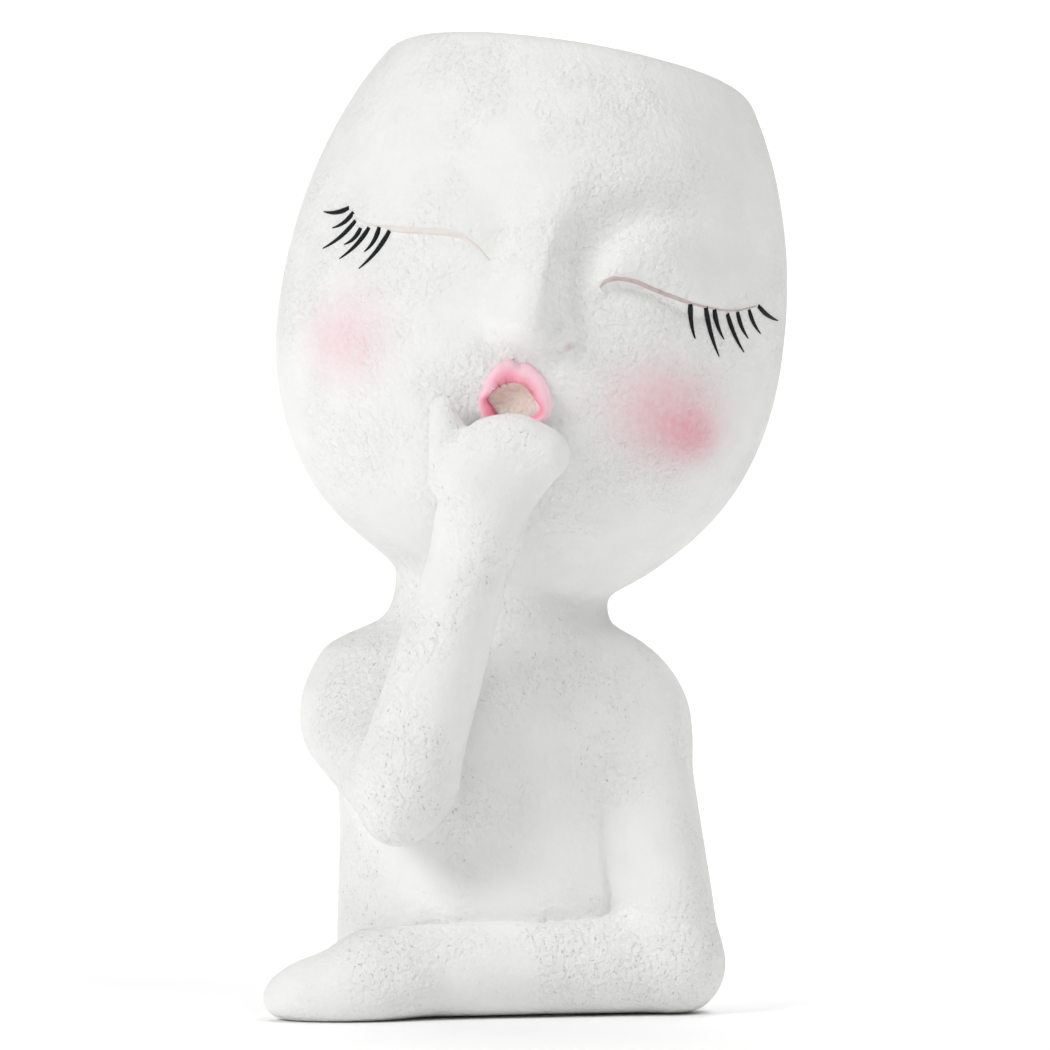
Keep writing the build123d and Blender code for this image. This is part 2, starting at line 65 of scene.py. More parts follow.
Points = np.ndarray
Values = np.ndarray
Path = tuple[Points, Values]
Shape = Callable[[Points], Values]
Pair = tuple[float, float]
Triple = tuple[float, float, float]
Socket = bpy.types.NodeSocket
Piece = bpy.types.Object
Look = tuple[Socket, float, dict[str, object]]

# The settings of shader nodes, the sockets of a Map Range node in order, and those of a colour Mix node: its
# factor and its two colours, and then its result.
SMOOTH = {"interpolation_type": "SMOOTHSTEP"}
TIMES, TIMES_PLUS = {"operation": "MULTIPLY"}, {"operation": "MULTIPLY_ADD"}
COLOURS = {"data_type": "RGBA"}
RANGE = ("Value", "From Min", "From Max", "To Min", "To Max")
MIX, MIXED = (0, 6, 7), 2


class Axis(Enum):
    """The axis that a turn goes about."""

    X = 0
    Y = 1


class Body(Enum):
    """The bodies of the part."""

    PLANTER = "planter"
    PLUG = "plug"


def turn_about(axis: Axis, degrees: float) -> np.ndarray:
    """A right-handed turn as a matrix.

    Args:
        axis: The axis to turn about.
        degrees: The angle.

    Returns:
        The 3 by 3 matrix that turns a column vector.
    """
    c, s = math.cos(math.radians(degrees)), math.sin(math.radians(degrees))
    first, second = (axis.value + 1) % 3, (axis.value + 2) % 3
    matrix = np.eye(3)
    matrix[first, first] = matrix[second, second] = c
    matrix[second, first], matrix[first, second] = s, -s
    return matrix


def ease(low: float, high: float, values: Values) -> Values:
    """A smooth rise from 0 at low to 1 at high.

    Args:
        low: Where the rise starts.
        high: Where it ends.
        values: The values to read it at.

    Returns:
        The eased shares.
    """
    share = np.clip((values - low) / (high - low), 0, 1)
    return share * share * (3 - 2 * share)


def join(first: Values, second: Values, reach: float | Values) -> Values:
    """The union of two shapes with a soft fillet where they meet.

    Args:
        first: Distances to one shape.
        second: Distances to the other.
        reach: How wide the fillet spreads.

    Returns:
        The distances to both together.
    """
    blend = np.maximum(reach - np.abs(first - second), 0) / reach
    return np.minimum(first, second) - blend * blend * reach / 4


def carve(body: Values, tool: Values, reach: float | Values) -> Values:
    """A shape with another taken out of it and the edge between them softened.

    Args:
        body: Distances to the shape that stays.
        tool: Distances to the shape that is taken out.
        reach: How wide the softened edge spreads.

    Returns:
        The distances to what is left.
    """
    return -join(-body, tool, reach)


def hermite(at: Values, places: Values, levels: Values) -> Values:
    """A smooth curve through a few levels.

    Args:
        at: Where to read the curve.
        places: Rising places of the known levels.
        levels: The levels there.

    Returns:
        The curve's values.
    """
    steps = np.diff(places)
    slopes = np.diff(levels) / steps
    tangents = np.concatenate(([slopes[0]], (slopes[:-1] + slopes[1:]) / 2, [slopes[-1]]))
    index = np.clip(np.searchsorted(places, at) - 1, 0, len(steps) - 1)
    step = steps[index]
    share = np.clip((at - places[index]) / step, 0, 1)
    rise = ease(0, 1, share)
    start = share * (1 - share) ** 2
    end = share * share * (share - 1)
    level = levels[index] + (levels[index + 1] - levels[index]) * rise
    return level + step * (tangents[index] * start + tangents[index + 1] * end)


@dataclass(frozen=True)
class Place:
    """An origin with three axes of its own, one in each row."""

    origin: Triple = (0.0, 0.0, 0.0)
    axes: tuple = ((1.0, 0.0, 0.0), (0.0, 1.0, 0.0), (0.0, 0.0, 1.0))

    def local(self, points: Points) -> Points:
        """The points as this place sees them."""
        return np.array(self.axes) @ (points - np.array(self.origin)[:, None])

    def world(self, points: Points) -> Points:
        """Points of this place in the part's frame."""
        return np.array(self.axes).T @ points + np.array(self.origin)[:, None]

    def at(self, x: float, y: float, z: float) -> "Place":
        """A place with the same axes whose origin is moved along them."""
        moved = self.world(np.array([[x], [y], [z]]))[:, 0]
        return Place(tuple(moved), self.axes)

    def turned(self, axis: Axis, degrees: float) -> "Place":
        """This place turned about one of its own axes."""
        axes = turn_about(axis, degrees).T @ np.array(self.axes)
        return Place(self.origin, tuple(map(tuple, axes)))


@dataclass(frozen=True)
class Ellipsoid:
    """A ball with three radii."""

    place: Place
    radii: Triple

    def distance(self, points: Points) -> Values:
        """Distances to the ellipsoid.

        Args:
            points: Where to read them.

        Returns:
            The distances, one for each point.
        """
        radii = np.array(self.radii)[:, None]
        share = self.place.local(points) / radii
        near = np.linalg.norm(share, axis=0)
        steep = np.linalg.norm(share / radii, axis=0)
        return near * (near - 1) / np.maximum(steep, 1e-6)


@dataclass(frozen=True)
class Limb:
    """A straight round limb whose radius changes evenly from one ball to the other."""

    start: Triple
    end: Triple
    start_radius: float
    end_radius: float

    def distance(self, points: Points) -> Values:
        """Distances to the limb.

        Args:
            points: Where to read them.

        Returns:
            The distances, one for each point.
        """
        start = np.array(self.start)[:, None]
        axis = np.array(self.end)[:, None] - start
        share = np.clip((axis * (points - start)).sum(0) / (axis * axis).sum(), 0, 1)
        radius = self.start_radius + (self.end_radius - self.start_radius) * share
        return np.linalg.norm(points - start - axis * share, axis=0) - radius


def oval_distance(across: Values, through: Values, width: Values, depth: Values, pull: Values) -> Values:
    """Distances to a form with an oval section that changes with height.

    Args:
        across: Places across the section, from its middle.
        through: Places through it, from its middle.
        width: Half widths at the same heights.
        depth: Half depths.
        pull: How fast the section's size grows with height, as a share of itself.

    Returns:
        Distances, exact to the first order near the surface.
    """
    x, y = across / width, through / depth
    ratio = np.maximum(np.hypot(x, y), 1e-6)
    steep = np.sqrt((x / width) ** 2 + (y / depth) ** 2) / ratio
    return (ratio - 1) / np.hypot(steep, ratio * pull)


@dataclass(frozen=True)
class Nose:
    """The broad, low nose, in sections from under its tip up into the forehead.

    Each section has its height q on the face, its rise, its middle p, and how far it reaches left and right.
    """

    sections: tuple = (
        (-25.0, 0.0, 0.3, 12.0, 11.0),
        (-21.5, 0.6, 0.3, 12.0, 11.0),
        (-18.5, 5.0, 0.3, 12.5, 10.2),
        (-15.0, 9.0, 0.2, 13.0, 10.8),
        (-11.0, 9.6, 0.0, 13.5, 10.5),
        (-5.0, 7.4, -0.8, 13.0, 9.2),
        (2.0, 5.0, -1.5, 12.0, 8.2),
        (10.0, 3.0, -1.5, 14.0, 8.0),
        (20.0, 1.2, -1.0, 18.0, 9.0),
        (30.0, 0.0, 0.0, 20.0, 10.0),
    )
    crown: float = 0.12
    wing_middle: Pair = (6.6, -14.2)
    wing_size: Triple = (9.6, 8.6, 5.0)
    wing_bury: float = 3.0
    wing_join: float = 2.0

    def rise(self, p: Values, q: Values) -> Values:
        """How far the nose stands out of the face.

        Args:
            p: Places across the face.
            q: Places up the face.

        Returns:
            The heights.
        """
        heights, *columns = (np.array(column) for column in zip(*self.sections))
        rise, middle, left, right = (hermite(q, heights, column) for column in columns)
        share = np.abs(p - middle) / np.where(p < middle, left, right)
        return np.maximum(rise, 0) * (1 - ease(self.crown, 1, share))


@dataclass(frozen=True)
class Valley:
    """The soft valley between the brow and the closed lid, which fades at both its ends."""

    line: tuple = (
        (10.8, -17.6, 0.0),
        (9.4, -14.0, 1.4),
        (8.0, -8.0, 1.7),
        (7.4, -3.0, 2.1),
        (7.6, 2.0, 3.0),
        (9.4, 9.0, 3.5),
        (13.6, 15.2, 3.3),
        (20.0, 19.6, 3.0),
        (28.0, 21.4, 2.6),
        (37.5, 20.4, 2.1),
        (47.0, 17.0, 1.4),
        (56.0, 11.0, 0.0),
    )
    reach: float = 5.8
    left_share: float = 0.5

    def depth(self, p: Values, q: Values) -> Values:
        """How deep the valley is at a point of the face, on both its sides.

        Args:
            p: Places across the face.
            q: Places up the face.

        Returns:
            The depths.
        """
        across = np.abs(p)
        nearest = np.full(np.shape(p), np.inf)
        depth = np.zeros(np.shape(p))
        for (x, y, first), (end_x, end_y, last) in zip(self.line, self.line[1:]):
            run, climb = end_x - x, end_y - y
            share = np.clip(((across - x) * run + (q - y) * climb) / (run * run + climb * climb), 0, 1)
            away = (across - x - share * run) ** 2 + (q - y - share * climb) ** 2
            closer = away < nearest
            depth = np.where(closer, first + share * (last - first), depth)
            nearest = np.where(closer, away, nearest)
        side = self.left_share + (1 - self.left_share) * ease(-8, 8, p)
        return depth * side * np.exp(-nearest / self.reach**2)


@dataclass(frozen=True)
class Lid:
    """One closed lid: a low dome over the eyeball that ends softly at the lid's edge."""

    middle: Pair
    reach: Triple
    rise: float
    flat: float = 0.15
    edge: float = 2.2

    def height(self, p: Values, q: Values, below: Values) -> Values:
        """How far the lid stands out of the face.

        Args:
            p: Places across the face.
            q: Places up the face.
            below: How far each place lies below the lid's edge.

        Returns:
            The heights.
        """
        left, right, up = self.reach
        across = (p - self.middle[0]) / np.where(p < self.middle[0], left, right)
        share = np.hypot(across, (q - self.middle[1]) / up)
        return self.rise * (1 - ease(self.flat, 1, share)) * ease(-self.edge, self.edge, -below)


@dataclass(frozen=True)
class Head:
    """The hollow head: an egg cut off flat at the top, with the face on its front."""

    neck_joint: Triple = (-7.1, 7.0, 102.5)
    tilt: float = 9.0
    width: float = 126.0
    depth: float = 105.0
    height: float = 131.0
    side_shift: float = 3.0
    side_ease: float = 4.0
    widest_at: float = 65.5
    crown: float = 92.5
    jaw: float = 66.3
    jaw_power: float = 2.15
    neck_width: float = 52.8
    neck_depth: float = 45.0
    neck_power: float = 8.0
    foot: float = 12.0
    wall: float = 7.0
    floor_at: float = 14.0
    rim_tilt: float = 8.0
    rim_round: float = 3.0
    floor_round: float = 12.0
    face_u: float = -1.9
    face_v: float = 78.7
    face_roll: float = 6.0
    relief_from: Pair = (5.0, 20.0)
    relief_reach: float = 30.0
    lid_inner: float = 14.5
    lid_outer: float = 51.5
    lids: tuple[Lid, ...] = (
        Lid((-31.0, 0.0), (19.0, 19.0, 21.0), 1.4, 0.3),
        Lid((26.0, 0.0), (17.0, 23.0, 20.0), 2.5, 0.52),
    )
    mouth: Pair = (0.9, -31.6)
    mouth_size: Triple = (6.2, 4.9, 1.4)
    mouth_out: float = 1.0
    mouth_round: float = 1.4
    swells: tuple = (
        (-27.0, -22.0, 17.0, 14.0, 0.8),
        (31.0, -24.0, 17.0, 14.0, 0.9),
        (1.0, -30.0, 15.0, 11.0, 1.4),
        (0.0, 30.0, 34.0, 10.0, 0.9),
        (20.0, 36.0, 18.0, 7.0, 0.9),
    )
    nose: Nose = Nose()
    valley: Valley = Valley()

    @property
    def place(self) -> Place:
        """The head's own place: its axes lean over with it."""
        return Place(self.neck_joint).turned(Axis.Y, self.tilt)

    @property
    def face(self) -> Place:
        """The face's own place: p to the right, q up, r out of the face."""
        return self.place.at(self.face_u, 0, self.face_v).turned(Axis.Y, self.face_roll).turned(Axis.X, 90)

    def half_width(self, v: Values) -> Values:
        """Half the egg's width at each height above the neck joint.

        Args:
            v: The heights.

        Returns:
            The half widths.
        """
        share = v - self.widest_at
        upper = np.sqrt(np.clip(1 - (share / self.crown) ** 2, 0.02, 1))
        lower = np.clip(1 - np.abs(share / self.jaw) ** self.jaw_power, 0, 1) ** (1 / self.jaw_power)
        egg = self.width / 2 * np.where(share > 0, upper, lower)
        neck = self.neck_width / 2
        blended = (egg**self.neck_power + neck**self.neck_power) ** (1 / self.neck_power)
        return np.where(share > 0, egg, blended)

    def half_depth(self, v: Values) -> Values:
        """Half the egg's depth at each height."""
        egg, neck = self.depth / self.width, self.neck_depth / self.neck_width
        return self.half_width(v) * (neck + (egg - neck) * np.clip(v / self.floor_at, 0, 1))

    def side(self, v: Values) -> Values:
        """How far the egg's middle lies beside the neck's axis."""
        return -self.side_shift * ease(-self.side_ease, self.floor_at + self.side_ease, v)

    def plain(self, points: Points) -> Values:
        """Distances to the egg and the neck with no face.

        Args:
            points: Where to read them.

        Returns:
            The distances, one for each point.
        """
        u, y, v = self.place.local(points)
        step = 0.5
        width = self.half_width(v)
        pull = (self.half_width(v + step) - self.half_width(v - step)) / (2 * step * width)
        return oval_distance(u - self.side(v), y, width, self.half_depth(v), pull)

    def reach(self, p: float, q: float) -> float:
        """How far the plain egg stands forward of its middle at a point of the face.

        Args:
            p: The point's place across the face.
            q: Its place up the face.

        Returns:
            The distance.
        """
        turn = math.radians(self.face_roll)
        u = self.face_u + p * math.cos(turn) + q * math.sin(turn)
        v = np.array(self.face_v - p * math.sin(turn) + q * math.cos(turn))
        share = (u - self.side(v)) / self.half_width(v)
        return float(self.half_depth(v) * np.sqrt(np.clip(1 - share**2, 0, 1)))

    def wing(self, side: int) -> Ellipsoid:
        """One of the nose's wings, bedded in the face.

        Args:
            side: -1 for the left wing, 1 for the right.

        Returns:
            The wing, as an ellipsoid.
        """
        (beside, q), (width, height, rise) = self.nose.wing_middle, self.nose.wing_size
        p = self.nose.sections[0][2] + side * beside
        place = self.face.at(p, q, self.reach(p, q) - self.nose.wing_bury)
        return Ellipsoid(place, (width / 2, height / 2, rise + self.nose.wing_bury))

    def lid_edge(self, p: Values) -> Values:
        """The height of the closed lids' edge across the face, for both eyes.

        Args:
            p: Places across the face.

        Returns:
            The edge's places up the face.
        """
        span = self.lid_outer - self.lid_inner
        places = np.array((-0.1, 0, 0.12, 0.35, 0.62, 0.82, 1, 1.2))
        drops = np.array((-0.08, -0.02, 0.055, 0.06, 0.01, 0.035, 0.12, 0.24))
        return hermite((np.abs(p) - self.lid_inner) / span, places, drops) * span

    def with_face(self, points: Points) -> Values:
        """Distances to the solid head with its face modelled on it.

        Args:
            points: Where to read them.

        Returns:
            The distances, one for each point.
        """
        form = self.plain(points)
        p, q, r = self.face.local(points)
        near = np.flatnonzero((r > self.relief_from[0]) & (np.abs(form) < self.relief_reach))
        form[near] = self.modelled(form[near], points[:, near], p[near], q[near], r[near])
        return form

    def modelled(self, form: Values, points: Points, p: Values, q: Values, r: Values) -> Values:
        """The face modelled on the plain egg.

        Args:
            form: Distances to the plain egg.
            points: The points that they belong to.
            p: The points' places across the face.
            q: Their places up the face.
            r: Their places out of the face.

        Returns:
            The distances with cheeks, brows, nose, lids and mouth.
        """
        rise = self.nose.rise(p, q) - self.valley.depth(p, q)
        for p_at, q_at, p_reach, q_reach, height in self.swells:
            rise = rise + height * np.exp(-(((p - p_at) / p_reach) ** 2) - ((q - q_at) / q_reach) ** 2)
        below = self.lid_edge(p) - q
        for lid in self.lids:
            rise = rise + lid.height(p, q, below)
        form = form - rise * ease(*self.relief_from, r)
        for side in (-1, 1):
            form = join(form, self.wing(side).distance(points), self.nose.wing_join)
        mouth = Ellipsoid(self.face.at(*self.mouth, self.reach(*self.mouth) + self.mouth_out), self.mouth_size)
        return carve(form, mouth.distance(points), self.mouth_round)

    def bowl(self, points: Points) -> Values:
        """Distances to the space inside the pot."""
        v = self.place.local(points)[2]
        return carve(self.plain(points) + self.wall, v - self.floor_at, self.floor_round)

    def above_rim(self, points: Points) -> Values:
        """Distances to what lies over the rim's tilted plane, below zero inside it.

        Args:
            points: Where to read them.

        Returns:
            The distances, one for each point.
        """
        y, v = self.place.local(points)[1:]
        turn = math.radians(self.rim_tilt)
        return -(v - self.height) * math.cos(turn) - y * math.sin(turn)

    def distance(self, points: Points) -> Values:
        """Distances to the hollow head.

        Args:
            points: Where to read them.

        Returns:
            The distances, one for each point.
        """
        v = self.place.local(points)[2]
        solid = carve(self.with_face(points), self.above_rim(points), self.rim_round)
        solid = np.maximum(solid, -v - self.foot)
        return carve(solid, self.bowl(points), self.rim_round)


@dataclass(frozen=True)
class Torso:
    """The bust without its arms."""

    x: float = -6.2
    y: float = 7.0
    width: float = 83.6
    depth: float = 65.0
    height: float = 102.5
    shoulder_shift: float = 4.0
    shoulder_at: float = 0.87
    shoulder_span: float = 0.16
    top: float = 1.25
    step: float = 0.005
    shares: tuple = (
        (-0.1, 0.93, 0.9),
        (0, 0.95, 0.93),
        (0.03, 0.985, 0.965),
        (0.12, 1, 1),
        (0.26, 0.995, 0.97),
        (0.42, 0.985, 0.86),
        (0.56, 1, 0.88),
        (0.69, 1.04, 0.97),
        (0.78, 1, 0.91),
        (0.86, 0.91, 0.82),
        (0.93, 0.69, 0.7),
        (1, 0.6, 0.65),
        (1.15, 0.5, 0.55),
        (1.3, 0.4, 0.45),
    )

    def distance(self, points: Points) -> Values:
        """Distances to the bust.

        Args:
            points: Where to read them.

        Returns:
            The distances, one for each point.
        """
        x, y, z = points
        places, widths, depths = (np.array(column) for column in zip(*self.shares))
        share = z / self.height
        width, above, below = (hermite(share + way * self.step, places, widths) for way in (0, 1, -1))
        pull = (above - below) / (2 * self.step * self.height * width)
        side = self.shoulder_shift * np.maximum(0, 1 - np.abs(share - self.shoulder_at) / self.shoulder_span)
        depth = hermite(share, places, depths) * self.depth / 2
        oval = oval_distance(x - self.x + side, y - self.y, width * self.width / 2, depth, pull)
        return np.maximum(oval, z - self.top * self.height)


@dataclass(frozen=True)
class RaisedArm:
    """The arm that holds its mitten hand up under the lips."""

    upper_arm: Limb = Limb((-38.2, 6.0, 71.5), (-30.8, -33.0, 54.5), 19.0, 11.5)
    forearm: Limb = Limb((-30.2, -33.0, 57.5), (-12.4, -44.0, 117.5), 12.5, 9.6)
    elbow_point: Limb = Limb((-30.2, -33.0, 57.5), (-31.7, -34.5, 50.6), 12.5, 8.8)
    palm: tuple = (
        Limb((-12.4, -44.0, 117.5), (-12.4, -48.4, 132.0), 9.9, 8.6),
        Limb((-12.4, -48.4, 132.0), (-9.4, -49.8, 138.2), 8.6, 6.8),
        Limb((-11.0, -45.6, 121.0), (-3.2, -49.8, 138.8), 9.0, 7.0),
        Limb((-11.0, -45.6, 122.0), (3.2, -49.4, 136.2), 7.6, 6.4),
    )
    thumb: Limb = Limb((-19.2, -46.6, 130.5), (-20.9, -48.6, 147.2), 5.4, 3.0)
    web: Limb = Limb((-19.8, -48.0, 144.0), (-15.4, -47.6, 136.0), 3.2, 3.8)
    chin_rest: Limb = Limb((-12.6, -40.6, 124.6), (-9.8, -44.2, 138.0), 4.4, 4.4)
    arm_join: float = 2.0
    elbow_join: float = 3.0
    hand_join: float = 4.0
    rest_join: float = 2.5
    web_join: float = 1.5
    thumb_join: float = 1.2

    def lower(self, points: Points) -> Values:
        """Distances to the forearm and the hand.

        Args:
            points: Where to read them.

        Returns:
            The distances, one for each point.
        """
        arm = join(self.forearm.distance(points), self.elbow_point.distance(points), self.elbow_join)
        mitten = self.palm[0].distance(points)
        for limb in self.palm[1:]:
            mitten = join(mitten, limb.distance(points), self.hand_join)
        mitten = join(mitten, self.chin_rest.distance(points), self.rest_join)
        thumb = join(self.thumb.distance(points), self.web.distance(points), self.web_join)
        return join(join(arm, mitten, self.hand_join), thumb, self.thumb_join)

    def distance(self, points: Points) -> Values:
        """Distances to the whole arm."""
        return join(self.upper_arm.distance(points), self.lower(points), self.arm_join)


@dataclass(frozen=True)
class RestingArm:
    """The arm that lies along the front of the base. Its radii are the shoulder's, the elbow's and the wrist's."""

    shoulder: Triple = (20.6, 5.5, 70.5)
    elbow: Triple = (34.4, -14.0, 12.3)
    wrist: Triple = (-37.5, -30.0, 10.9)
    radii: Triple = (18.0, 12.8, 11.2)
    hand: Triple = (-43.5, -33.0, 7.4)
    hand_size: Triple = (42.0, 22.0, 20.0)
    hand_dip: float = 7.0
    elbow_join: float = 3.0
    hand_join: float = 5.0

    def distance(self, points: Points) -> Values:
        """Distances to the arm.

        Args:
            points: Where to read them.

        Returns:
            The distances, one for each point.
        """
        upper = Limb(self.shoulder, self.elbow, *self.radii[:2]).distance(points)
        fore = Limb(self.elbow, self.wrist, *self.radii[1:]).distance(points)
        palm = Place(self.hand).turned(Axis.Y, -self.hand_dip)
        mitten = Ellipsoid(palm, tuple(size / 2 for size in self.hand_size)).distance(points)
        return join(join(upper, fore, self.elbow_join), mitten, self.hand_join)


@dataclass(frozen=True)
class Casting:
    """All the white cast pieces, which flow into each other.

    An arm's join has its least width, what it gains upwards, and the two heights between which it gains it. The
    skin's hollows have their depth, how far apart they are, and their seed.
    """

    head: Head = Head()
    torso: Torso = Torso()
    raised_arm: RaisedArm = RaisedArm()
    resting_arm: RestingArm = RestingArm()
    resting_join: tuple[float, float, float, float] = (0.8, 8.0, 46.0, 66.0)
    shoulder_join: tuple[float, float, float, float] = (2.0, 8.0, 58.0, 80.0)
    forearm_join: float = 1.6
    neck_join: float = 2.5
    crease_depth: float = 0.8
    crease_width: float = 1.7
    crease_fade: Pair = (44.0, 56.0)
    drain_radius: float = 6.0
    drain_foot: float = -20.0
    drain_round: float = 0.6
    seat_radius: float = 10.3
    seat_depth: float = 1.2
    seat_height: float = 6.0
    spigot_length: float = 8.2
    foot_round: float = 2.0
    hollows: tuple = ((0.13, 11.0, 3), (0.05, 3.6, 5))
    flat_foot: float = 0.4
    flat_drain: float = 1.0

    def bust(self, points: Points) -> Values:
        """Distances to the torso and both arms.

        Args:
            points: Where to read them.

        Returns:
            The distances, one for each point.
        """
        torso, resting = self.torso.distance(points), self.resting_arm.distance(points)
        least, gain, low, high = self.resting_join
        form = join(torso, resting, least + gain * ease(low, high, points[2]))
        crease = self.crease_depth * np.exp(-(((torso - resting) / self.crease_width) ** 2))
        form = form + crease * (1 - ease(*self.crease_fade, points[2]))
        least, gain, low, high = self.shoulder_join
        form = join(form, self.raised_arm.upper_arm.distance(points), least + gain * ease(low, high, points[2]))
        return join(form, self.raised_arm.lower(points), self.forearm_join)

    def outside(self, points: Points) -> Values:
        """Distances to the whole casting before its drain is opened."""
        form = join(self.bust(points), self.head.distance(points), self.neck_join)
        return carve(form, points[2], self.foot_round)

    def drain(self, points: Points) -> Values:
        """Distances to the drain from the bowl's floor to the underside.

        Args:
            points: Where to read them.

        Returns:
            The distances, one for each point.
        """
        place = self.head.place
        u, y, v = place.local(points)
        top = place.at(0, 0, self.head.floor_at + self.drain_radius).origin
        bend = place.at(0, 0, -self.spigot_length).origin
        foot = (*bend[:2], self.drain_foot)
        upper, lower = (
            Limb(start, end, self.drain_radius, self.drain_radius).distance(points)
            for start, end in ((top, bend), (bend, foot))
        )
        seat = np.maximum(np.hypot(u, y) - self.seat_radius, self.head.floor_at - self.seat_depth - v)
        return np.minimum(np.minimum(upper, lower), np.maximum(seat, v - self.head.floor_at - self.seat_height))

    def distance(self, points: Points) -> Values:
        """Distances to the finished casting."""
        return carve(self.outside(points), self.drain(points), self.drain_round)

    def hollow(self, points: Points) -> Values:
        """How deep the uneven skin lies at points of the surface: not at all on the foot and in the drain."""
        depth = sum(depth * lumps(points, size, seed) for depth, size, seed in self.hollows)
        return depth * ~((points[2] < self.flat_foot) | (self.drain(points) < self.flat_drain))


@dataclass(frozen=True)
class Mesh:
    """A surface: points in columns and triangles in rows."""

    points: Points
    faces: np.ndarray


@dataclass(frozen=True)
class SurfaceNet:
    """Lays an even net of faces over a shape that is known by its distances."""

    step: float
    block: int = 4
    chunk: int = 300000

    def sampled(self, shape: Shape, low: np.ndarray, counts: np.ndarray) -> Values:
        """Distances on a grid, worked out in full only near the surface.

        Args:
            shape: The shape.
            low: The grid's lowest corner.
            counts: How many blocks it has along each axis.

        Returns:
            The distances, one for each point of the grid.
        """
        pitch = self.block * self.step
        grid = np.indices(counts).reshape(3, -1)
        middles = low[:, None] + (grid + 0.5) * pitch - self.step / 2
        coarse = self.in_chunks(shape, middles)
        values = np.repeat(coarse[:, None], self.block**3, axis=1)
        near = np.flatnonzero(np.abs(coarse) < 1.5 * pitch)
        inner = np.indices((self.block,) * 3).reshape(3, -1) * self.step
        corners = low[:, None] + grid[:, near] * pitch
        fine = (corners[:, :, None] + inner[:, None, :]).reshape(3, -1)
        values[near] = self.in_chunks(shape, fine).reshape(len(near), -1)
        values = values.reshape(*counts, self.block, self.block, self.block)
        return values.transpose(0, 3, 1, 4, 2, 5).reshape(counts * self.block)

    def in_chunks(self, shape: Shape, points: Points) -> Values:
        """Distances worked out a part of the points at a time, to spare memory."""
        starts = range(0, points.shape[1], self.chunk)
        return np.concatenate([shape(points[:, start : start + self.chunk]) for start in starts])

    def over(self, shape: Shape, low: Triple, high: Triple) -> Mesh:
        """A net of triangles over a shape.

        Args:
            shape: The shape.
            low: The lowest corner of the space it lies in.
            high: The highest corner.

        Returns:
            The closed surface, with its points exactly on the shape.
        """
        low = np.array(low, float)
        counts = np.ceil((np.array(high) - low) / (self.block * self.step)).astype(int)
        values = self.sampled(shape, low, counts)
        inside = values < 0
        shape_in_cells = tuple(np.array(values.shape) - 1)
        filled = np.zeros(shape_in_cells, np.int8)
        corners = np.indices((2, 2, 2)).reshape(3, -1).T
        for x, y, z in corners:
            filled += inside[x : x + filled.shape[0], y : y + filled.shape[1], z : z + filled.shape[2]]
        cells = np.argwhere((filled > 0) & (filled < 8))
        number = np.full(shape_in_cells, -1)
        number[tuple(cells.T)] = np.arange(len(cells))
        total, hits = np.zeros((len(cells), 3)), np.zeros(len(cells))
        quads = []
        for axis in range(3):
            along = np.eye(3, dtype=int)[axis]
            for corner in corners[corners[:, axis] == 0]:
                a = values[tuple((cells + corner).T)]
                b = values[tuple((cells + corner + along).T)]
                crossed = (a < 0) != (b < 0)
                share = np.where(crossed, a / np.where(crossed, a - b, 1), 0)
                total += crossed[:, None] * (cells + corner + share[:, None] * along)
                hits += crossed
            quads.append(self.quads_across(inside, number, axis))
        points = low[:, None] + self.step * (total / hits[:, None]).T
        quads = np.concatenate(quads)
        points = self.settled(shape, points, quads)
        return Mesh(points, np.concatenate((quads[:, [0, 1, 2]], quads[:, [0, 2, 3]])))

    @staticmethod
    def quads_across(inside: np.ndarray, number: np.ndarray, axis: int) -> np.ndarray:
        """The faces that cut the grid's edges along one axis.

        Args:
            inside: Which points of the grid are inside the shape.
            number: The number of each cell's point.
            axis: The axis.

        Returns:
            Four point numbers for each face, counter-clockwise from outside.
        """
        turned = np.moveaxis(inside, (axis, (axis + 1) % 3, (axis + 2) % 3), (0, 1, 2))
        cells = np.moveaxis(number, (axis, (axis + 1) % 3, (axis + 2) % 3), (0, 1, 2))
        i, j, k = np.nonzero(turned[:-1, 1:-1, 1:-1] != turned[1:, 1:-1, 1:-1])
        around = [cells[i, j, k], cells[i, j + 1, k], cells[i, j + 1, k + 1], cells[i, j, k + 1]]
        quads = np.stack(around, axis=1)
        leaving = turned[i, j + 1, k + 1]
        return np.where(leaving[:, None], quads, quads[:, ::-1])

    def settled(self, shape: Shape, points: Points, quads: np.ndarray) -> Points:
        """The net's points spread evenly and drawn onto the shape."""
        for _ in range(2):
            total, hits = np.zeros_like(points), np.zeros(points.shape[1])
            for start, end in ((0, 1), (1, 2), (2, 3), (3, 0)):
                for here, there in ((start, end), (end, start)):
                    for row in range(3):
                        total[row] += np.bincount(quads[:, here], points[row, quads[:, there]], points.shape[1])
                    hits += np.bincount(quads[:, here], minlength=points.shape[1])
            points = (points + total / hits) / 2
            points = onto(shape, points)
        return onto(shape, points)


def slope(shape: Shape, points: Points, step: float = 0.05) -> Points:
    """The direction in which a shape's distance grows.

    Args:
        shape: The shape.
        points: Where to read it.
        step: How far apart it is read.

    Returns:
        The direction at each point, as long as the growth there.
    """
    rows = []
    for axis in range(3):
        aside = np.zeros((3, 1))
        aside[axis] = step
        rows.append((shape(points + aside) - shape(points - aside)) / (2 * step))
    return np.array(rows)


def onto(shape: Shape, points: Points, limit: float = 0.8) -> Points:
    """Points drawn onto a shape's surface.

    Args:
        shape: The shape.
        points: Points near the surface.
        limit: The furthest that a point moves.

    Returns:
        The points on the surface.
    """
    grown = slope(shape, points)
    move = shape(points) / np.maximum((grown * grown).sum(0), 0.05)
    size = np.abs(move) * np.linalg.norm(grown, axis=0)
    return points - grown * move * np.minimum(1, limit / np.maximum(size, 1e-9))


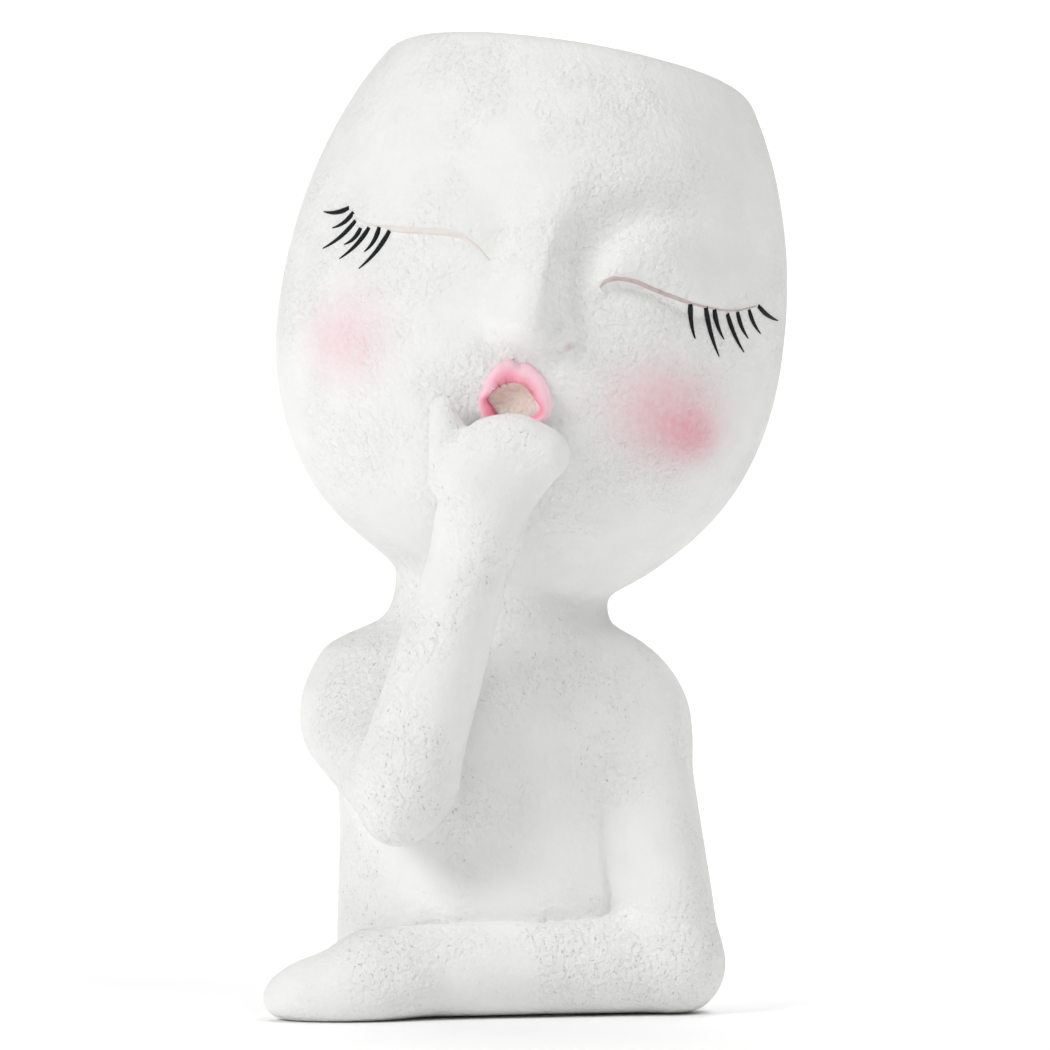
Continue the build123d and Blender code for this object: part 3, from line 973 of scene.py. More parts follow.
def lumps(points: Points, size: float, seed: int) -> Values:
    """Soft random lumps that fill space.

    Args:
        points: Where to read them.
        size: How far apart they are.
        seed: Which lumps.

    Returns:
        Values from 0 to 1.
    """
    table = np.random.default_rng(seed).random(4096)
    scaled = points / size
    whole = np.floor(scaled).astype(int)
    share = ease(0, 1, scaled - whole)
    total = 0
    for corner in np.indices((2, 2, 2)).reshape(3, -1).T:
        at = whole + corner[:, None]
        key = (at[0] * 73856093) ^ (at[1] * 19349663) ^ (at[2] * 83492791)
        weight = np.prod(np.where(corner[:, None] == 1, share, 1 - share), axis=0)
        total = total + weight * table[key & 4095]
    return total


def split(mesh: Mesh, label: Values) -> tuple[Mesh, Mesh]:
    """A surface parted in two where a label passes through zero.

    Args:
        mesh: The surface.
        label: One value for each point.

    Returns:
        The part above zero and the part below, which share the points on their border.
    """
    faces = mesh.faces
    above = label[faces] > 0
    count = above.sum(1)
    mixed = (count == 1) | (count == 2)
    odd_above = count[mixed] == 1
    odd = np.argmax(above[mixed] == odd_above[:, None], axis=1)
    order = (odd[:, None] + np.arange(3)) % 3
    cut = np.take_along_axis(faces[mixed], order, axis=1)
    ends = np.concatenate((cut[:, [0, 1]], cut[:, [0, 2]]))
    unique, place = np.unique(np.sort(ends, axis=1), axis=0, return_inverse=True)
    a, b = label[unique[:, 0]], label[unique[:, 1]]
    share = a / (a - b)
    new = mesh.points[:, unique[:, 0]] * (1 - share) + mesh.points[:, unique[:, 1]] * share
    points = np.concatenate((mesh.points, new), axis=1)
    first, second = place.reshape(2, -1) + mesh.points.shape[1]
    lone = np.stack((cut[:, 0], first, second), axis=1)
    pair = np.array(((first, cut[:, 1], cut[:, 2]), (first, cut[:, 2], second)))
    rest = np.concatenate(pair.transpose(0, 2, 1))
    twice = np.concatenate((odd_above, odd_above))
    upper = np.concatenate((faces[count == 3], lone[odd_above], rest[~twice]))
    lower = np.concatenate((faces[count == 0], lone[~odd_above], rest[twice]))
    return tidy(Mesh(points, upper)), tidy(Mesh(points, lower))


def tidy(mesh: Mesh) -> Mesh:
    """A surface without the points that none of its faces uses."""
    used, faces = np.unique(mesh.faces, return_inverse=True)
    return Mesh(mesh.points[:, used], faces.reshape(-1, 3))


def laced(rings: int, spots: int, closed: bool) -> np.ndarray:
    """Triangles between rings of points, of which the last is laced to the first.

    Args:
        rings: How many rings there are.
        spots: How many points each has, numbered ring by ring.
        closed: Whether a ring's last point is laced to its first.

    Returns:
        Three point numbers for each triangle.
    """
    faces = []
    for ring in range(rings):
        here, there = ring * spots, (ring + 1) % rings * spots
        for spot in range(spots if closed else spots - 1):
            after = (spot + 1) % spots
            faces += [(here + spot, there + spot, there + after), (here + spot, there + after, here + after)]
    return np.array(faces)


def linear(value: str) -> tuple[float, float, float, float]:
    """An sRGB hex colour in the linear values that Blender mixes.

    Args:
        value: Six hex digits.

    Returns:
        Red, green, blue and a full alpha.
    """
    channels = [int(value[start : start + 2], 16) / 255 for start in (0, 2, 4)]
    red, green, blue = (c / 12.92 if c <= 0.04045 else ((c + 0.055) / 1.055) ** 2.4 for c in channels)
    return red, green, blue, 1.0


def add_node(
    tree: bpy.types.NodeTree, kind: str, settings: dict[str, object] | None = None, inputs: dict | None = None
) -> bpy.types.Node:
    """Adds a node to a tree.

    Args:
        tree: The tree.
        kind: The node's type.
        settings: Its properties.
        inputs: For a socket's name or number, a value or the socket that feeds it.

    Returns:
        The node.
    """
    node = tree.nodes.new(kind)
    for name, value in (settings or {}).items():
        setattr(node, name, value)
    for name, value in (inputs or {}).items():
        if isinstance(value, bpy.types.NodeSocket):
            tree.links.new(value, node.inputs[name])
        else:
            node.inputs[name].default_value = value
    return node


def add_object(name: str, data: bpy.types.ID) -> bpy.types.Object:
    """Adds an object to the scene.

    Args:
        name: Its name.
        data: Its mesh, curve, light or camera.

    Returns:
        The object.
    """
    thing = bpy.data.objects.new(name, data)
    bpy.context.scene.collection.objects.link(thing)
    return thing


def new_material(name: str) -> tuple[bpy.types.Material, bpy.types.NodeTree, bpy.types.Node]:
    """An empty material.

    Args:
        name: Its name.

    Returns:
        The material, its node tree and its output node.
    """
    material = bpy.data.materials.new(name)
    material.use_nodes = True
    tree = material.node_tree
    tree.nodes.clear()
    return material, tree, add_node(tree, "ShaderNodeOutputMaterial")


@dataclass(frozen=True)
class PaintAndShadePatch:
    """A patch of colour on the face, strong in its middle and fading outwards.

    Most are airbrushed paint; the one in the crease beside the nose is painted shade.
    """

    centre: Triple
    reach: Triple
    colour: str
    strength: float
    core: float = 0.0
    turn: float = 0.0

    def over(self, tree: bpy.types.NodeTree, where: Socket, below: Socket, take_up: Socket) -> Socket:
        """Lays the patch over a colour.

        Args:
            tree: The material's tree.
            where: Object coordinates.
            below: The colour below it.
            take_up: How well the patch takes on each spot, around 1.

        Returns:
            The socket of the new colour.
        """
        placement = {
            "Vector": where,
            "Location": Vector(self.centre) * MM,
            "Rotation": (0, math.radians(self.turn), 0),
            "Scale": Vector(self.reach) * MM,
        }
        placed = add_node(tree, "ShaderNodeMapping", {"vector_type": "TEXTURE"}, placement)
        far = add_node(tree, "ShaderNodeVectorMath", {"operation": "LENGTH"}, {0: placed.outputs[0]}).outputs["Value"]
        fade = dict(zip(RANGE, (far, self.core, 1.0, self.strength, 0.0)))
        share = add_node(tree, "ShaderNodeMapRange", SMOOTH, fade).outputs[0]
        taken = add_node(tree, "ShaderNodeMath", TIMES, {0: share, 1: take_up}).outputs[0]
        mixed = dict(zip(MIX, (taken, below, linear(self.colour))))
        return add_node(tree, "ShaderNodeMix", COLOURS, mixed).outputs[MIXED]


class Finish:
    """What every finish of a piece shares: one shader with a relief, in the piece's own coordinates."""

    def look(self, tree: bpy.types.NodeTree, where: Socket) -> Look:
        """The finish's own nodes.

        Args:
            tree: The material's tree.
            where: Object coordinates.

        Returns:
            The relief's height from 0 to 1, its depth in millimetres, and the shader's other inputs.
        """
        raise NotImplementedError

    def material(self, name: str) -> bpy.types.Material:
        """Makes the finish.

        Args:
            name: The material's name.

        Returns:
            The material.
        """
        material, tree, output = new_material(name)
        where = add_node(tree, "ShaderNodeTexCoord").outputs["Object"]
        height, depth_mm, inputs = self.look(tree, where)
        relief = {"Height": height, "Distance": depth_mm * MM, "Strength": 1.0}
        bump = add_node(tree, "ShaderNodeBump", {}, relief)
        shader = add_node(tree, "ShaderNodeBsdfPrincipled", {}, {**inputs, "Normal": bump.outputs[0]})
        tree.links.new(shader.outputs[0], output.inputs[0])
        return material


@dataclass(frozen=True)
class CastResin(Finish):
    """Cast resin with sand in it, painted matt white.

    The matt paint gives no gleam. Where the sand lies near the skin the eye sees small flat flakes and grit, and
    where air was caught in the mould it sees short shallow pits, darkened with painted shade. Both come in patches,
    with smooth paint between.
    """

    white: str = "F0F0EF"
    shade: str = "E8E8E5"
    # The grey-brown mixed into the pits as painted shade.
    pit_shade_colour: str = "77736E"
    roughness: float = 0.85
    ior: float = 1.5
    specular: float = 0.3
    lean: Triple = (0.2, 0.6, 0.3)
    stretch: Triple = (1.0, 1.0, 0.7)
    shade_mm: float = 11.0
    shade_edge: Pair = (0.35, 0.65)
    shade_share: float = 0.4
    patch_mm: float = 25.0
    patch_edge: Pair = (0.38, 0.62)
    least_sand: float = 0.25
    grit_mm: float = 1.5
    grit_edge: Pair = (0.35, 0.65)
    grit_take_up: Pair = (0.85, 1.12)
    grit_depth_mm: float = 0.8
    flake_mm: float = 2.4
    flake_edge: Pair = (0.5, 0.56)
    flake_depth_mm: float = 0.08
    flaw_mm: float = 0.65
    flaw_edge: Pair = (0.8, 0.84)
    flaw_gather: float = 0.14
    flaw_depth_mm: float = 0.15
    pit_shade_share: float = 0.35
    patches: tuple[PaintAndShadePatch, ...] = ()

    def look(self, tree: bpy.types.NodeTree, where: Socket) -> Look:
        """The sand, the pits darkened with painted shade, and the paint, with the face's patches of paint and painted
        shade where the value "outside" is 1.

        Args:
            tree: The material's tree.
            where: Object coordinates.

        Returns:
            The relief's height, its depth in millimetres, and the shader's other inputs.
        """
        leant = {"Vector": where, "Rotation": self.lean, "Scale": self.stretch}
        leaning = add_node(tree, "ShaderNodeMapping", {}, leant).outputs[0]
        patch, grit, flake, air, uneven = (
            add_node(tree, "ShaderNodeTexNoise", {}, {"Vector": at, "Scale": 1 / (size * MM), **detail}).outputs[0]
            for at, size, detail in (
                (where, self.patch_mm, {"Detail": 2.0}),
                (where, self.grit_mm, {"Detail": 2.0}),
                (leaning, self.flake_mm, {"Detail": 4.0, "Roughness": 0.62}),
                (leaning, self.flaw_mm, {"Detail": 2.0, "Distortion": 0.5}),
                (where, self.shade_mm, {"Detail": 3.0}),
            )
        )
        sandy, flakes, share = (
            add_node(tree, "ShaderNodeMapRange", SMOOTH, dict(zip(RANGE, spread))).outputs[0]
            for spread in (
                (patch, *self.patch_edge, self.least_sand, 1.0),
                (flake, *self.flake_edge),
                (uneven, *self.shade_edge, 0.0, self.shade_share),
            )
        )
        wanted = add_node(tree, "ShaderNodeMath", TIMES_PLUS, {0: sandy, 1: self.flaw_gather, 2: air}).outputs[0]
        gathered = dict(zip(RANGE, (wanted, *self.flaw_edge)))
        flaws = add_node(tree, "ShaderNodeMapRange", SMOOTH, gathered).outputs[0]
        flaked, pitted = (depth / self.grit_depth_mm for depth in (self.flake_depth_mm, -self.flaw_depth_mm))
        height = add_node(tree, "ShaderNodeMath", TIMES_PLUS, {0: flakes, 1: flaked, 2: grit}).outputs[0]
        height = add_node(tree, "ShaderNodeMath", TIMES, {0: height, 1: sandy}).outputs[0]
        height = add_node(tree, "ShaderNodeMath", TIMES_PLUS, {0: flaws, 1: pitted, 2: height}).outputs[0]
        mixed = dict(zip(MIX, (share, linear(self.white), linear(self.shade))))
        colour = add_node(tree, "ShaderNodeMix", COLOURS, mixed).outputs[MIXED]
        if self.patches:
            outside = add_node(tree, "ShaderNodeAttribute", {"attribute_name": "outside"}).outputs["Fac"]
            taken = dict(zip(RANGE, (grit, *self.grit_edge, *self.grit_take_up)))
            take_up = add_node(tree, "ShaderNodeMapRange", SMOOTH, taken).outputs[0]
            take_up = add_node(tree, "ShaderNodeMath", TIMES, {0: take_up, 1: outside}).outputs[0]
            for face_patch in self.patches:
                colour = face_patch.over(tree, where, colour, take_up)
        # Painted shade: the pits are darkened towards the grey-brown.
        dark = add_node(tree, "ShaderNodeMath", TIMES, {0: flaws, 1: self.pit_shade_share}).outputs[0]
        mixed = dict(zip(MIX, (dark, colour, linear(self.pit_shade_colour))))
        colour = add_node(tree, "ShaderNodeMix", COLOURS, mixed).outputs[MIXED]
        inputs = {"Base Color": colour, "Roughness": self.roughness, "IOR": self.ior}
        return height, self.grit_depth_mm, {**inputs, "Specular IOR Level": self.specular}


@dataclass(frozen=True)
class BrushedPaint(Finish):
    """Acrylic paint put on by brush: a thin film with a soft sheen, fine streaks and thicker, deeper edges.

    The piece's own value "across" says where the paint is deep, near 0, and where it is light, near 1. On the lips
    the light tone, on their outer slope, is a painted highlight.
    """

    colour: str
    deep: str
    light: str
    roughness: float = 0.5
    specular: float = 0.5
    ior: float = 1.48
    streak_mm: float = 0.5
    streak_depth_mm: float = 0.1
    streak_share: float = 0.16
    deep_edge: Pair = (0.1, 0.34)
    light_edge: Pair = (0.45, 0.95)
    light_share: float = 0.85

    def look(self, tree: bpy.types.NodeTree, where: Socket) -> Look:
        """The streaks, and the paint's three tones.

        Args:
            tree: The material's tree.
            where: Object coordinates.

        Returns:
            The relief's height, its depth in millimetres, and the shader's other inputs.
        """
        noise = {"Vector": where, "Scale": 1 / (self.streak_mm * MM), "Detail": 2.0}
        streaks = add_node(tree, "ShaderNodeTexNoise", {}, noise).outputs[0]
        across = add_node(tree, "ShaderNodeAttribute", {"attribute_name": "across"}).outputs["Fac"]
        streaked = {0: streaks, 1: self.streak_share, 2: across}
        uneven = add_node(tree, "ShaderNodeMath", TIMES_PLUS, streaked).outputs[0]
        colour = linear(self.colour)
        for tone, edge, levels in (
            (self.deep, self.deep_edge, (1.0, 0.0)),
            # On the lips this light tone is a painted highlight; on the lid lines and lashes it is the paint's own
            # uneven tone.
            (self.light, self.light_edge, (0.0, self.light_share)),
        ):
            spread = dict(zip(RANGE, (uneven, *edge, *levels)))
            share = add_node(tree, "ShaderNodeMapRange", SMOOTH, spread).outputs[0]
            mixed = dict(zip(MIX, (share, colour, linear(tone))))
            colour = add_node(tree, "ShaderNodeMix", COLOURS, mixed).outputs[MIXED]
        inputs = {"Base Color": colour, "Roughness": self.roughness, "IOR": self.ior}
        return streaks, self.streak_depth_mm, {**inputs, "Specular IOR Level": self.specular}


@dataclass(frozen=True)
class MouldedRubber(Finish):
    """Grey silicone rubber from a mould: soft-looking, with a low even sheen and a little dust on it."""

    colour: str = "8E9194"
    dust: str = "A3A6A8"
    roughness: float = 0.6
    ior: float = 1.41
    skin_mm: float = 0.6
    skin_depth_mm: float = 0.05
    dust_mm: float = 4.0
    dust_edge: Pair = (0.4, 0.7)
    dust_share: float = 0.7

    def look(self, tree: bpy.types.NodeTree, where: Socket) -> Look:
        """The mould's skin and the dust.

        Args:
            tree: The material's tree.
            where: Object coordinates.

        Returns:
            The relief's height, its depth in millimetres, and the shader's other inputs.
        """
        skin, dusty = (
            add_node(tree, "ShaderNodeTexNoise", {}, {"Vector": where, "Scale": scale, "Detail": detail}).outputs[0]
            for scale, detail in ((1 / (self.skin_mm * MM), 2.0), (1 / (self.dust_mm * MM), 3.0))
        )
        spread = dict(zip(RANGE, (dusty, *self.dust_edge, 0.0, self.dust_share)))
        share = add_node(tree, "ShaderNodeMapRange", SMOOTH, spread).outputs[0]
        mixed = dict(zip(MIX, (share, linear(self.colour), linear(self.dust))))
        colour = add_node(tree, "ShaderNodeMix", COLOURS, mixed).outputs[MIXED]
        return skin, self.skin_depth_mm, {"Base Color": colour, "Roughness": self.roughness, "IOR": self.ior}


def close_holes(graph: bmesh.types.BMesh) -> None:
    """Caps each open border of a mesh, with a sharp edge round the cap.

    Args:
        graph: The mesh, which is changed.
    """
    border = [edge for edge in graph.edges if edge.is_boundary]
    for edge in border:
        edge.smooth = False
    caps = bmesh.ops.holes_fill(graph, edges=border, sides=0)["faces"]
    bmesh.ops.triangulate(graph, faces=caps)


def give_value(piece: bpy.types.Object, name: str, values: Values) -> None:
    """Gives each point of a piece a value that its material reads."""
    attribute = piece.data.attributes.new(name, "FLOAT", "POINT")
    attribute.data.foreach_set("value", np.asarray(values, np.float32))


def make_piece(name: str, mesh: Mesh, material: bpy.types.Material, body: Body, replaced: str) -> Piece:
    """Writes a surface as a piece of the part.

    Args:
        name: The piece's name.
        mesh: Its surface, in millimetres.
        material: Its finish.
        body: The body that it rides on.
        replaced: The node that it stands for.

    Returns:
        The object.
    """
    data = bpy.data.meshes.new(name)
    data.from_pydata((mesh.points.T * MM).tolist(), [], mesh.faces.tolist())
    graph = bmesh.new()
    graph.from_mesh(data)
    for face in graph.faces:
        face.smooth = True
    close_holes(graph)
    graph.to_mesh(data)
    graph.free()
    data.materials.append(material)
    thing = add_object(name, data)
    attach(thing, body.value)
    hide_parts(replaced)
    LOG.info("%s: %d faces, stands for %s", name, len(data.polygons), replaced)
    return thing


@dataclass(frozen=True)
class Photograph:
    """How the photograph was taken: a square frame, seen straight on from far off.

    A sight line is followed from the search's front in its steps, each so many times at the most.
    """

    pixels: float = 1050.0
    scale: float = 0.2487
    distance: float = 1300.0
    centre: Triple = (-1.2, 7.0, 119.3)
    sensor: float = 36.0
    sight_metres: float = 20.0
    front: float = -66.0
    steps: Pair = (0.5, 0.02)
    most: int = 200

    def on(self, shape: Shape, spots: np.ndarray, sink: float | Values = 0.0) -> Points:
        """Where spots of the photograph lie on a shape's front.

        Args:
            shape: The shape.
            spots: Pixels of the photograph, one spot in each row.
            sink: How far below the surface the points are to lie.

        Returns:
            The points.
        """
        across, down = (spots - self.pixels / 2).T * self.scale
        y = np.full(len(across), self.front)
        for step in self.steps:
            for _ in range(self.most):
                outside = shape(self.sight(across, down, y)) > 0
                y = y + step * outside
                if not outside.any():
                    break
            y = y - step
        points = self.sight(across, down, y + self.steps[-1])
        grown = slope(shape, points)
        return points - grown / np.linalg.norm(grown, axis=0) * sink

    def sight(self, across: Values, down: Values, y: Values) -> Points:
        """The points of sight lines at given depths."""
        spread = (self.distance + y - self.centre[1]) / self.distance
        return np.array((self.centre[0] + across * spread, y, self.centre[2] - down * spread))

    def set_camera(self) -> None:
        """Sets up the camera where the photographer stood."""
        data = bpy.data.cameras.new("camera")
        data.sensor_width = self.sensor
        data.lens = self.sensor * self.distance / (self.pixels * self.scale)
        data.clip_end = self.sight_metres
        camera = bpy.context.scene.camera = add_object("camera", data)
        x, y, z = self.centre
        camera.location = (x * MM, (y - self.distance) * MM, z * MM)
        camera.rotation_euler = (math.radians(90), 0, 0)


def smooth_path(spots: list[Pair], count: int, closed: bool = False) -> np.ndarray:
    """Even points on a smooth line through a few spots.

    Args:
        spots: The spots.
        count: How many points the line gets.
        closed: Whether the line comes back to its start.

    Returns:
        The points, one in each row.
    """
    knots = np.array(spots + spots[:1] if closed else spots, float)
    if closed:
        knots = np.concatenate((knots[-4:-1], knots, knots[1:4]))
    places = np.concatenate(([0], np.cumsum(np.linalg.norm(np.diff(knots, axis=0), axis=1))))
    start, end = (places[3], places[-4]) if closed else (0, places[-1])
    at = np.linspace(start, end, count, endpoint=not closed)
    return np.stack([hermite(at, places, column) for column in knots.T], axis=1)


class StrokeTree:
    """The Geometry Nodes that turn painted paths into rounded strokes that taper with their points' radius."""

    def __init__(self) -> None:
        """Builds the tree once, for all strokes."""
        tree = bpy.data.node_groups.new("painted_strokes", "GeometryNodeTree")
        for name, kind in (("Geometry", "Geometry"), ("Spacing", "Float"), ("Sides", "Int"), ("Paint", "Material")):
            tree.interface.new_socket(name, in_out="INPUT", socket_type=f"NodeSocket{kind}")
        tree.interface.new_socket("Geometry", in_out="OUTPUT", socket_type="NodeSocketGeometry")
        source = add_node(tree, "NodeGroupInput").outputs
        spaced = {"Curve": source["Geometry"], "Length": source["Spacing"]}
        even = add_node(tree, "GeometryNodeResampleCurve", {"mode": "LENGTH"}, spaced).outputs[0]
        circle = {"Resolution": source["Sides"], "Radius": 1.0}
        profile = add_node(tree, "GeometryNodeCurvePrimitiveCircle", {}, circle).outputs[0]
        girth = add_node(tree, "GeometryNodeInputRadius").outputs[0]
        sweep = {"Curve": even, "Profile Curve": profile, "Scale": girth, "Fill Caps": True}
        made = add_node(tree, "GeometryNodeCurveToMesh", {}, sweep).outputs[0]
        for kind in ("GeometryNodeSetShadeSmooth", "GeometryNodeRealizeInstances"):
            made = add_node(tree, kind, {}, {0: made}).outputs[0]
        painted = add_node(tree, "GeometryNodeSetMaterial", {}, {"Geometry": made, "Material": source["Paint"]})
        add_node(tree, "NodeGroupOutput", {}, {0: painted.outputs[0]})
        self.tree = tree

    def strokes(
        self, paths: list[Path], spacing: float, paint: bpy.types.Material, sides: int = 12
    ) -> Mesh:
        """Rounded strokes along paths.

        Args:
            paths: For each stroke, its points and the radius at each.
            spacing: How far apart the rings of faces are.
            paint: The strokes' finish.
            sides: How many faces go round a stroke.

        Returns:
            All the strokes as one surface, in millimetres.
        """
        curve = bpy.data.curves.new("paths", "CURVE")
        curve.dimensions = "3D"
        for points, radii in paths:
            spline = curve.splines.new("POLY")
            spline.points.add(points.shape[1] - 1)
            for knot, place, radius in zip(spline.points, points.T, radii):
                knot.co = (*(place * MM), 1)
                knot.radius = radius * MM
        thing = add_object("paths", curve)
        modifier = thing.modifiers.new("painted_strokes", "NODES")
        modifier.node_group = self.tree
        chosen = {"Spacing": spacing * MM, "Sides": sides, "Paint": paint}
        for socket in self.tree.interface.items_tree:
            if socket.in_out == "INPUT" and socket.name in chosen:
                modifier[socket.identifier] = chosen[socket.name]
        depsgraph = bpy.context.evaluated_depsgraph_get()
        data = bpy.data.meshes.new_from_object(thing.evaluated_get(depsgraph))
        data.calc_loop_triangles()
        points = np.array([vertex.co for vertex in data.vertices]).T / MM
        faces = np.array([triangle.vertices for triangle in data.loop_triangles])
        bpy.data.objects.remove(thing)
        bpy.data.meshes.remove(data)
        return Mesh(points, faces)


@dataclass(frozen=True)
class Lips:
    """The pouting open lips: a thick ring with a dip in its upper edge."""

    outer: tuple = (
        (478.5, 398.7), (483.7, 386.2), (489.4, 373.7), (498.7, 363.5), (510, 358.7), (520.6, 363.5), (528.7, 363.5),
        (537.5, 370.6), (545, 380), (549, 390), (551.5, 400), (551.9, 409.4), (548, 417), (540, 422),
        (525, 430), (510, 433.7), (495, 431), (483.7, 423), (480.5, 412),
    )
    inner: tuple = (
        (487.5, 398.1), (495, 390), (505, 383.5), (517.5, 383.2), (528.7, 387.5), (535, 391.9), (538.1, 400),
        (540, 408), (538, 414), (528.7, 417), (512.5, 420), (502.5, 419), (498.7, 415), (492.5, 406),
    )
    # Pink lip paint with crimson along the inner edge; its palest tone, outwards, is a painted highlight.
    paint: BrushedPaint = BrushedPaint("FFA0B8", "DC5472", "FFDAE4", 0.45)
    rise: float = 2.7
    sink: float = 1.2
    bed: float = 0.25
    around: int = 220
    across: int = 22
    light_gain: float = 0.3
    light_from: Pair = (-9.0, 2.0)

    def build(self, photograph: Photograph, face: Shape) -> tuple[Mesh, Values]:
        """Models the lips on the face.

        Args:
            photograph: What the edges were measured in.
            face: The face below them.

        Returns:
            The surface, and for each point how light its paint is: more outwards, and to the right. Where it is
            light, the lips get a painted highlight.
        """
        outer, inner = (smooth_path(list(edge), self.around, closed=True) for edge in (self.outer, self.inner))
        rings, shares = [], []
        for index in range(self.across):
            angle = 2 * math.pi * index / self.across
            share = 0.5 - 0.5 * math.cos(angle)
            bed = photograph.on(face, inner + (outer - inner) * share)
            grown = slope(face, bed)
            out = grown / np.linalg.norm(grown, axis=0)
            lift = (self.rise if index <= self.across / 2 else self.sink) * math.sin(angle)
            rings.append(bed + out * (lift - self.bed))
            shares.append(np.full(self.around, share))
        surface = Mesh(np.concatenate(rings, axis=1), laced(self.across, self.around, closed=True))
        return surface, np.concatenate(shares) + self.light_gain * ease(*self.light_from, surface.points[0])


@dataclass(frozen=True)
class ClosedEye:
    """One closed eye: the line along the lid's edge and the seven lashes that hang from it."""

    name: str
    lid: tuple
    lashes: tuple
    paint: BrushedPaint
    bow: float
    lash_radius: float = 0.74
    root_share: float = 0.75
    root_length: float = 0.25
    tip_share: float = 0.2
    sunk: float = 0.3
    lid_points: int = 60
    lash_points: int = 18

    def lid_path(self, photograph: Photograph, face: Shape) -> Path:
        """The painted line's points and the radius at each."""
        spots = smooth_path(list(self.lid), self.lid_points)
        return photograph.on(face, spots[:, :2], spots[:, 2] * self.sunk), spots[:, 2]

    def lash_paths(self, photograph: Photograph, face: Shape) -> list[Path]:
        """For each lash, its points and the radius at each.

        Args:
            photograph: What the lashes were measured in.
            face: The face below them.

        Returns:
            The paths.
        """
        share = np.linspace(0, 1, self.lash_points)
        bow = self.bow * 4 * share * (1 - share)
        thick = self.root_share + (1 - self.root_share) * ease(0, self.root_length, share)
        radii = self.lash_radius * thick * (1 - (1 - self.tip_share) * share**2)
        paths = []
        for (x, y), (tip_x, tip_y) in self.lashes:
            aside = np.array((tip_y - y, x - tip_x)) / math.hypot(tip_x - x, tip_y - y)
            spots = np.stack((x + (tip_x - x) * share, y + (tip_y - y) * share), axis=1) + bow[:, None] * aside
            paths.append((photograph.on(face, spots, radii * self.sunk), radii))
        return paths


@dataclass(frozen=True)
class DrainPlug:
    """The soft plug: a straight stem, a flange and a pull knob, turned about the head's axis."""

    seat: Place
    profile: tuple = (
        (0, -9), (5.5, -9), (5.8, -8.85), (5.9, -8.5), (5.9, 0), (9.6, 0), (10, 0.4), (10, 2.0), (9.6, 2.4),
        (3.2, 2.4), (2.75, 2.7), (2.6, 3.2), (2.6, 4.6), (3.2, 4.95), (3.7, 5.1), (4, 5.6), (4, 8.2),
        (3.7, 8.7), (3.2, 8.9), (0, 8.9),
    )
    around: int = 72

    def build(self) -> Mesh:
        """Turns the profile, with its two ends as poles."""
        (_, foot), *inner, (_, top) = self.profile
        angles = [2 * math.pi * index / self.around for index in range(self.around)]
        points = [(radius * math.cos(turn), radius * math.sin(turn), z) for turn in angles for radius, z in inner]
        points = [(0, 0, foot), *points, (0, 0, top)]
        count, last = len(inner), len(points) - 1
        poles = []
        for index in range(self.around):
            here, there = 1 + index * count, 1 + (index + 1) % self.around * count
            poles += [(0, there, here), (last, here + count - 1, there + count - 1)]
        faces = np.concatenate((poles, laced(self.around, count, closed=False) + 1))
        return Mesh(self.seat.world(np.array(points, float).T), faces)


@dataclass(frozen=True)
class SoftLight:
    """A square softbox, in metres and watts, that faces a point."""

    name: str
    place: Triple
    aim: Triple
    size: float
    power: float

    def hang(self) -> bpy.types.Object:
        """Hangs the light in the scene."""
        data = bpy.data.lights.new(self.name, "AREA")
        data.size = self.size
        data.energy = self.power
        lamp = add_object(self.name, data)
        lamp.location = self.place
        lamp.rotation_euler = (Vector(self.aim) - Vector(self.place)).to_track_quat("-Z", "Y").to_euler()
        return lamp


@dataclass(frozen=True)
class Studio:
    """The pale paper floor that bends up behind the planter, and the soft lights. Its sizes are in metres."""

    paper: str = "FAFAFA"
    paper_roughness: float = 0.9
    half_width: float = 6.0
    back: float = 2.6
    rise: float = 4.0
    bend: float = 1.2
    bend_steps: int = 16
    sky: str = "FFFFFF"
    daylight: float = 0.23
    lights: tuple[SoftLight, ...] = (
        SoftLight("left_light", (-1.3, -1.0, 1.0), (0, 0, 0.13), 0.8, 17.0),
        SoftLight("right_light", (1.05, -0.75, 1.95), (0, 0, 0.13), 1.0, 18.4),
    )
    paper_lights: tuple[SoftLight, ...] = (
        SoftLight("paper_light_back", (0, 0.9, 1.9), (0, 2.6, 0.3), 1.8, 31.0),
        SoftLight("paper_light_top", (0, 0.45, 2.0), (0, 0.45, 0), 2.0, 8.0),
    )

    def build(self) -> None:
        """Sets up the stage."""
        floor = self.floor()
        for light in self.lights:
            light.hang()
        lit = bpy.data.collections.new("lit_by_paper_light")
        lit.objects.link(floor)
        for light in self.paper_lights:
            light.hang().light_linking.receiver_collection = lit
        world = bpy.context.scene.world = bpy.data.worlds.new("studio")
        world.use_nodes = True
        background = world.node_tree.nodes["Background"].inputs
        background["Color"].default_value = linear(self.sky)
        background["Strength"].default_value = self.daylight
        bpy.context.scene.view_settings.view_transform = "Standard"

    def floor(self) -> bpy.types.Object:
        """Lays the paper."""
        rows = [(-self.half_width, 0.0)]
        for index in range(self.bend_steps + 1):
            angle = math.pi / 2 * index / self.bend_steps
            back, up = self.bend * math.sin(angle), self.bend * math.cos(angle)
            rows.append((self.back - self.bend + back, self.bend - up))
        rows.append((self.back, self.rise))
        points = [(side * self.half_width, y, z) for y, z in rows for side in (-1, 1)]
        faces = [(2 * row, 2 * row + 1, 2 * row + 3, 2 * row + 2) for row in range(len(rows) - 1)]
        data = bpy.data.meshes.new("floor")
        data.from_pydata(points, [], faces)
        material, tree, output = new_material("studio_paper")
        look = {"Base Color": linear(self.paper), "Roughness": self.paper_roughness}
        shader = add_node(tree, "ShaderNodeBsdfPrincipled", {}, look)
        tree.links.new(shader.outputs[0], output.inputs[0])
        data.materials.append(material)
        floor = add_object("floor", data)
        return floor


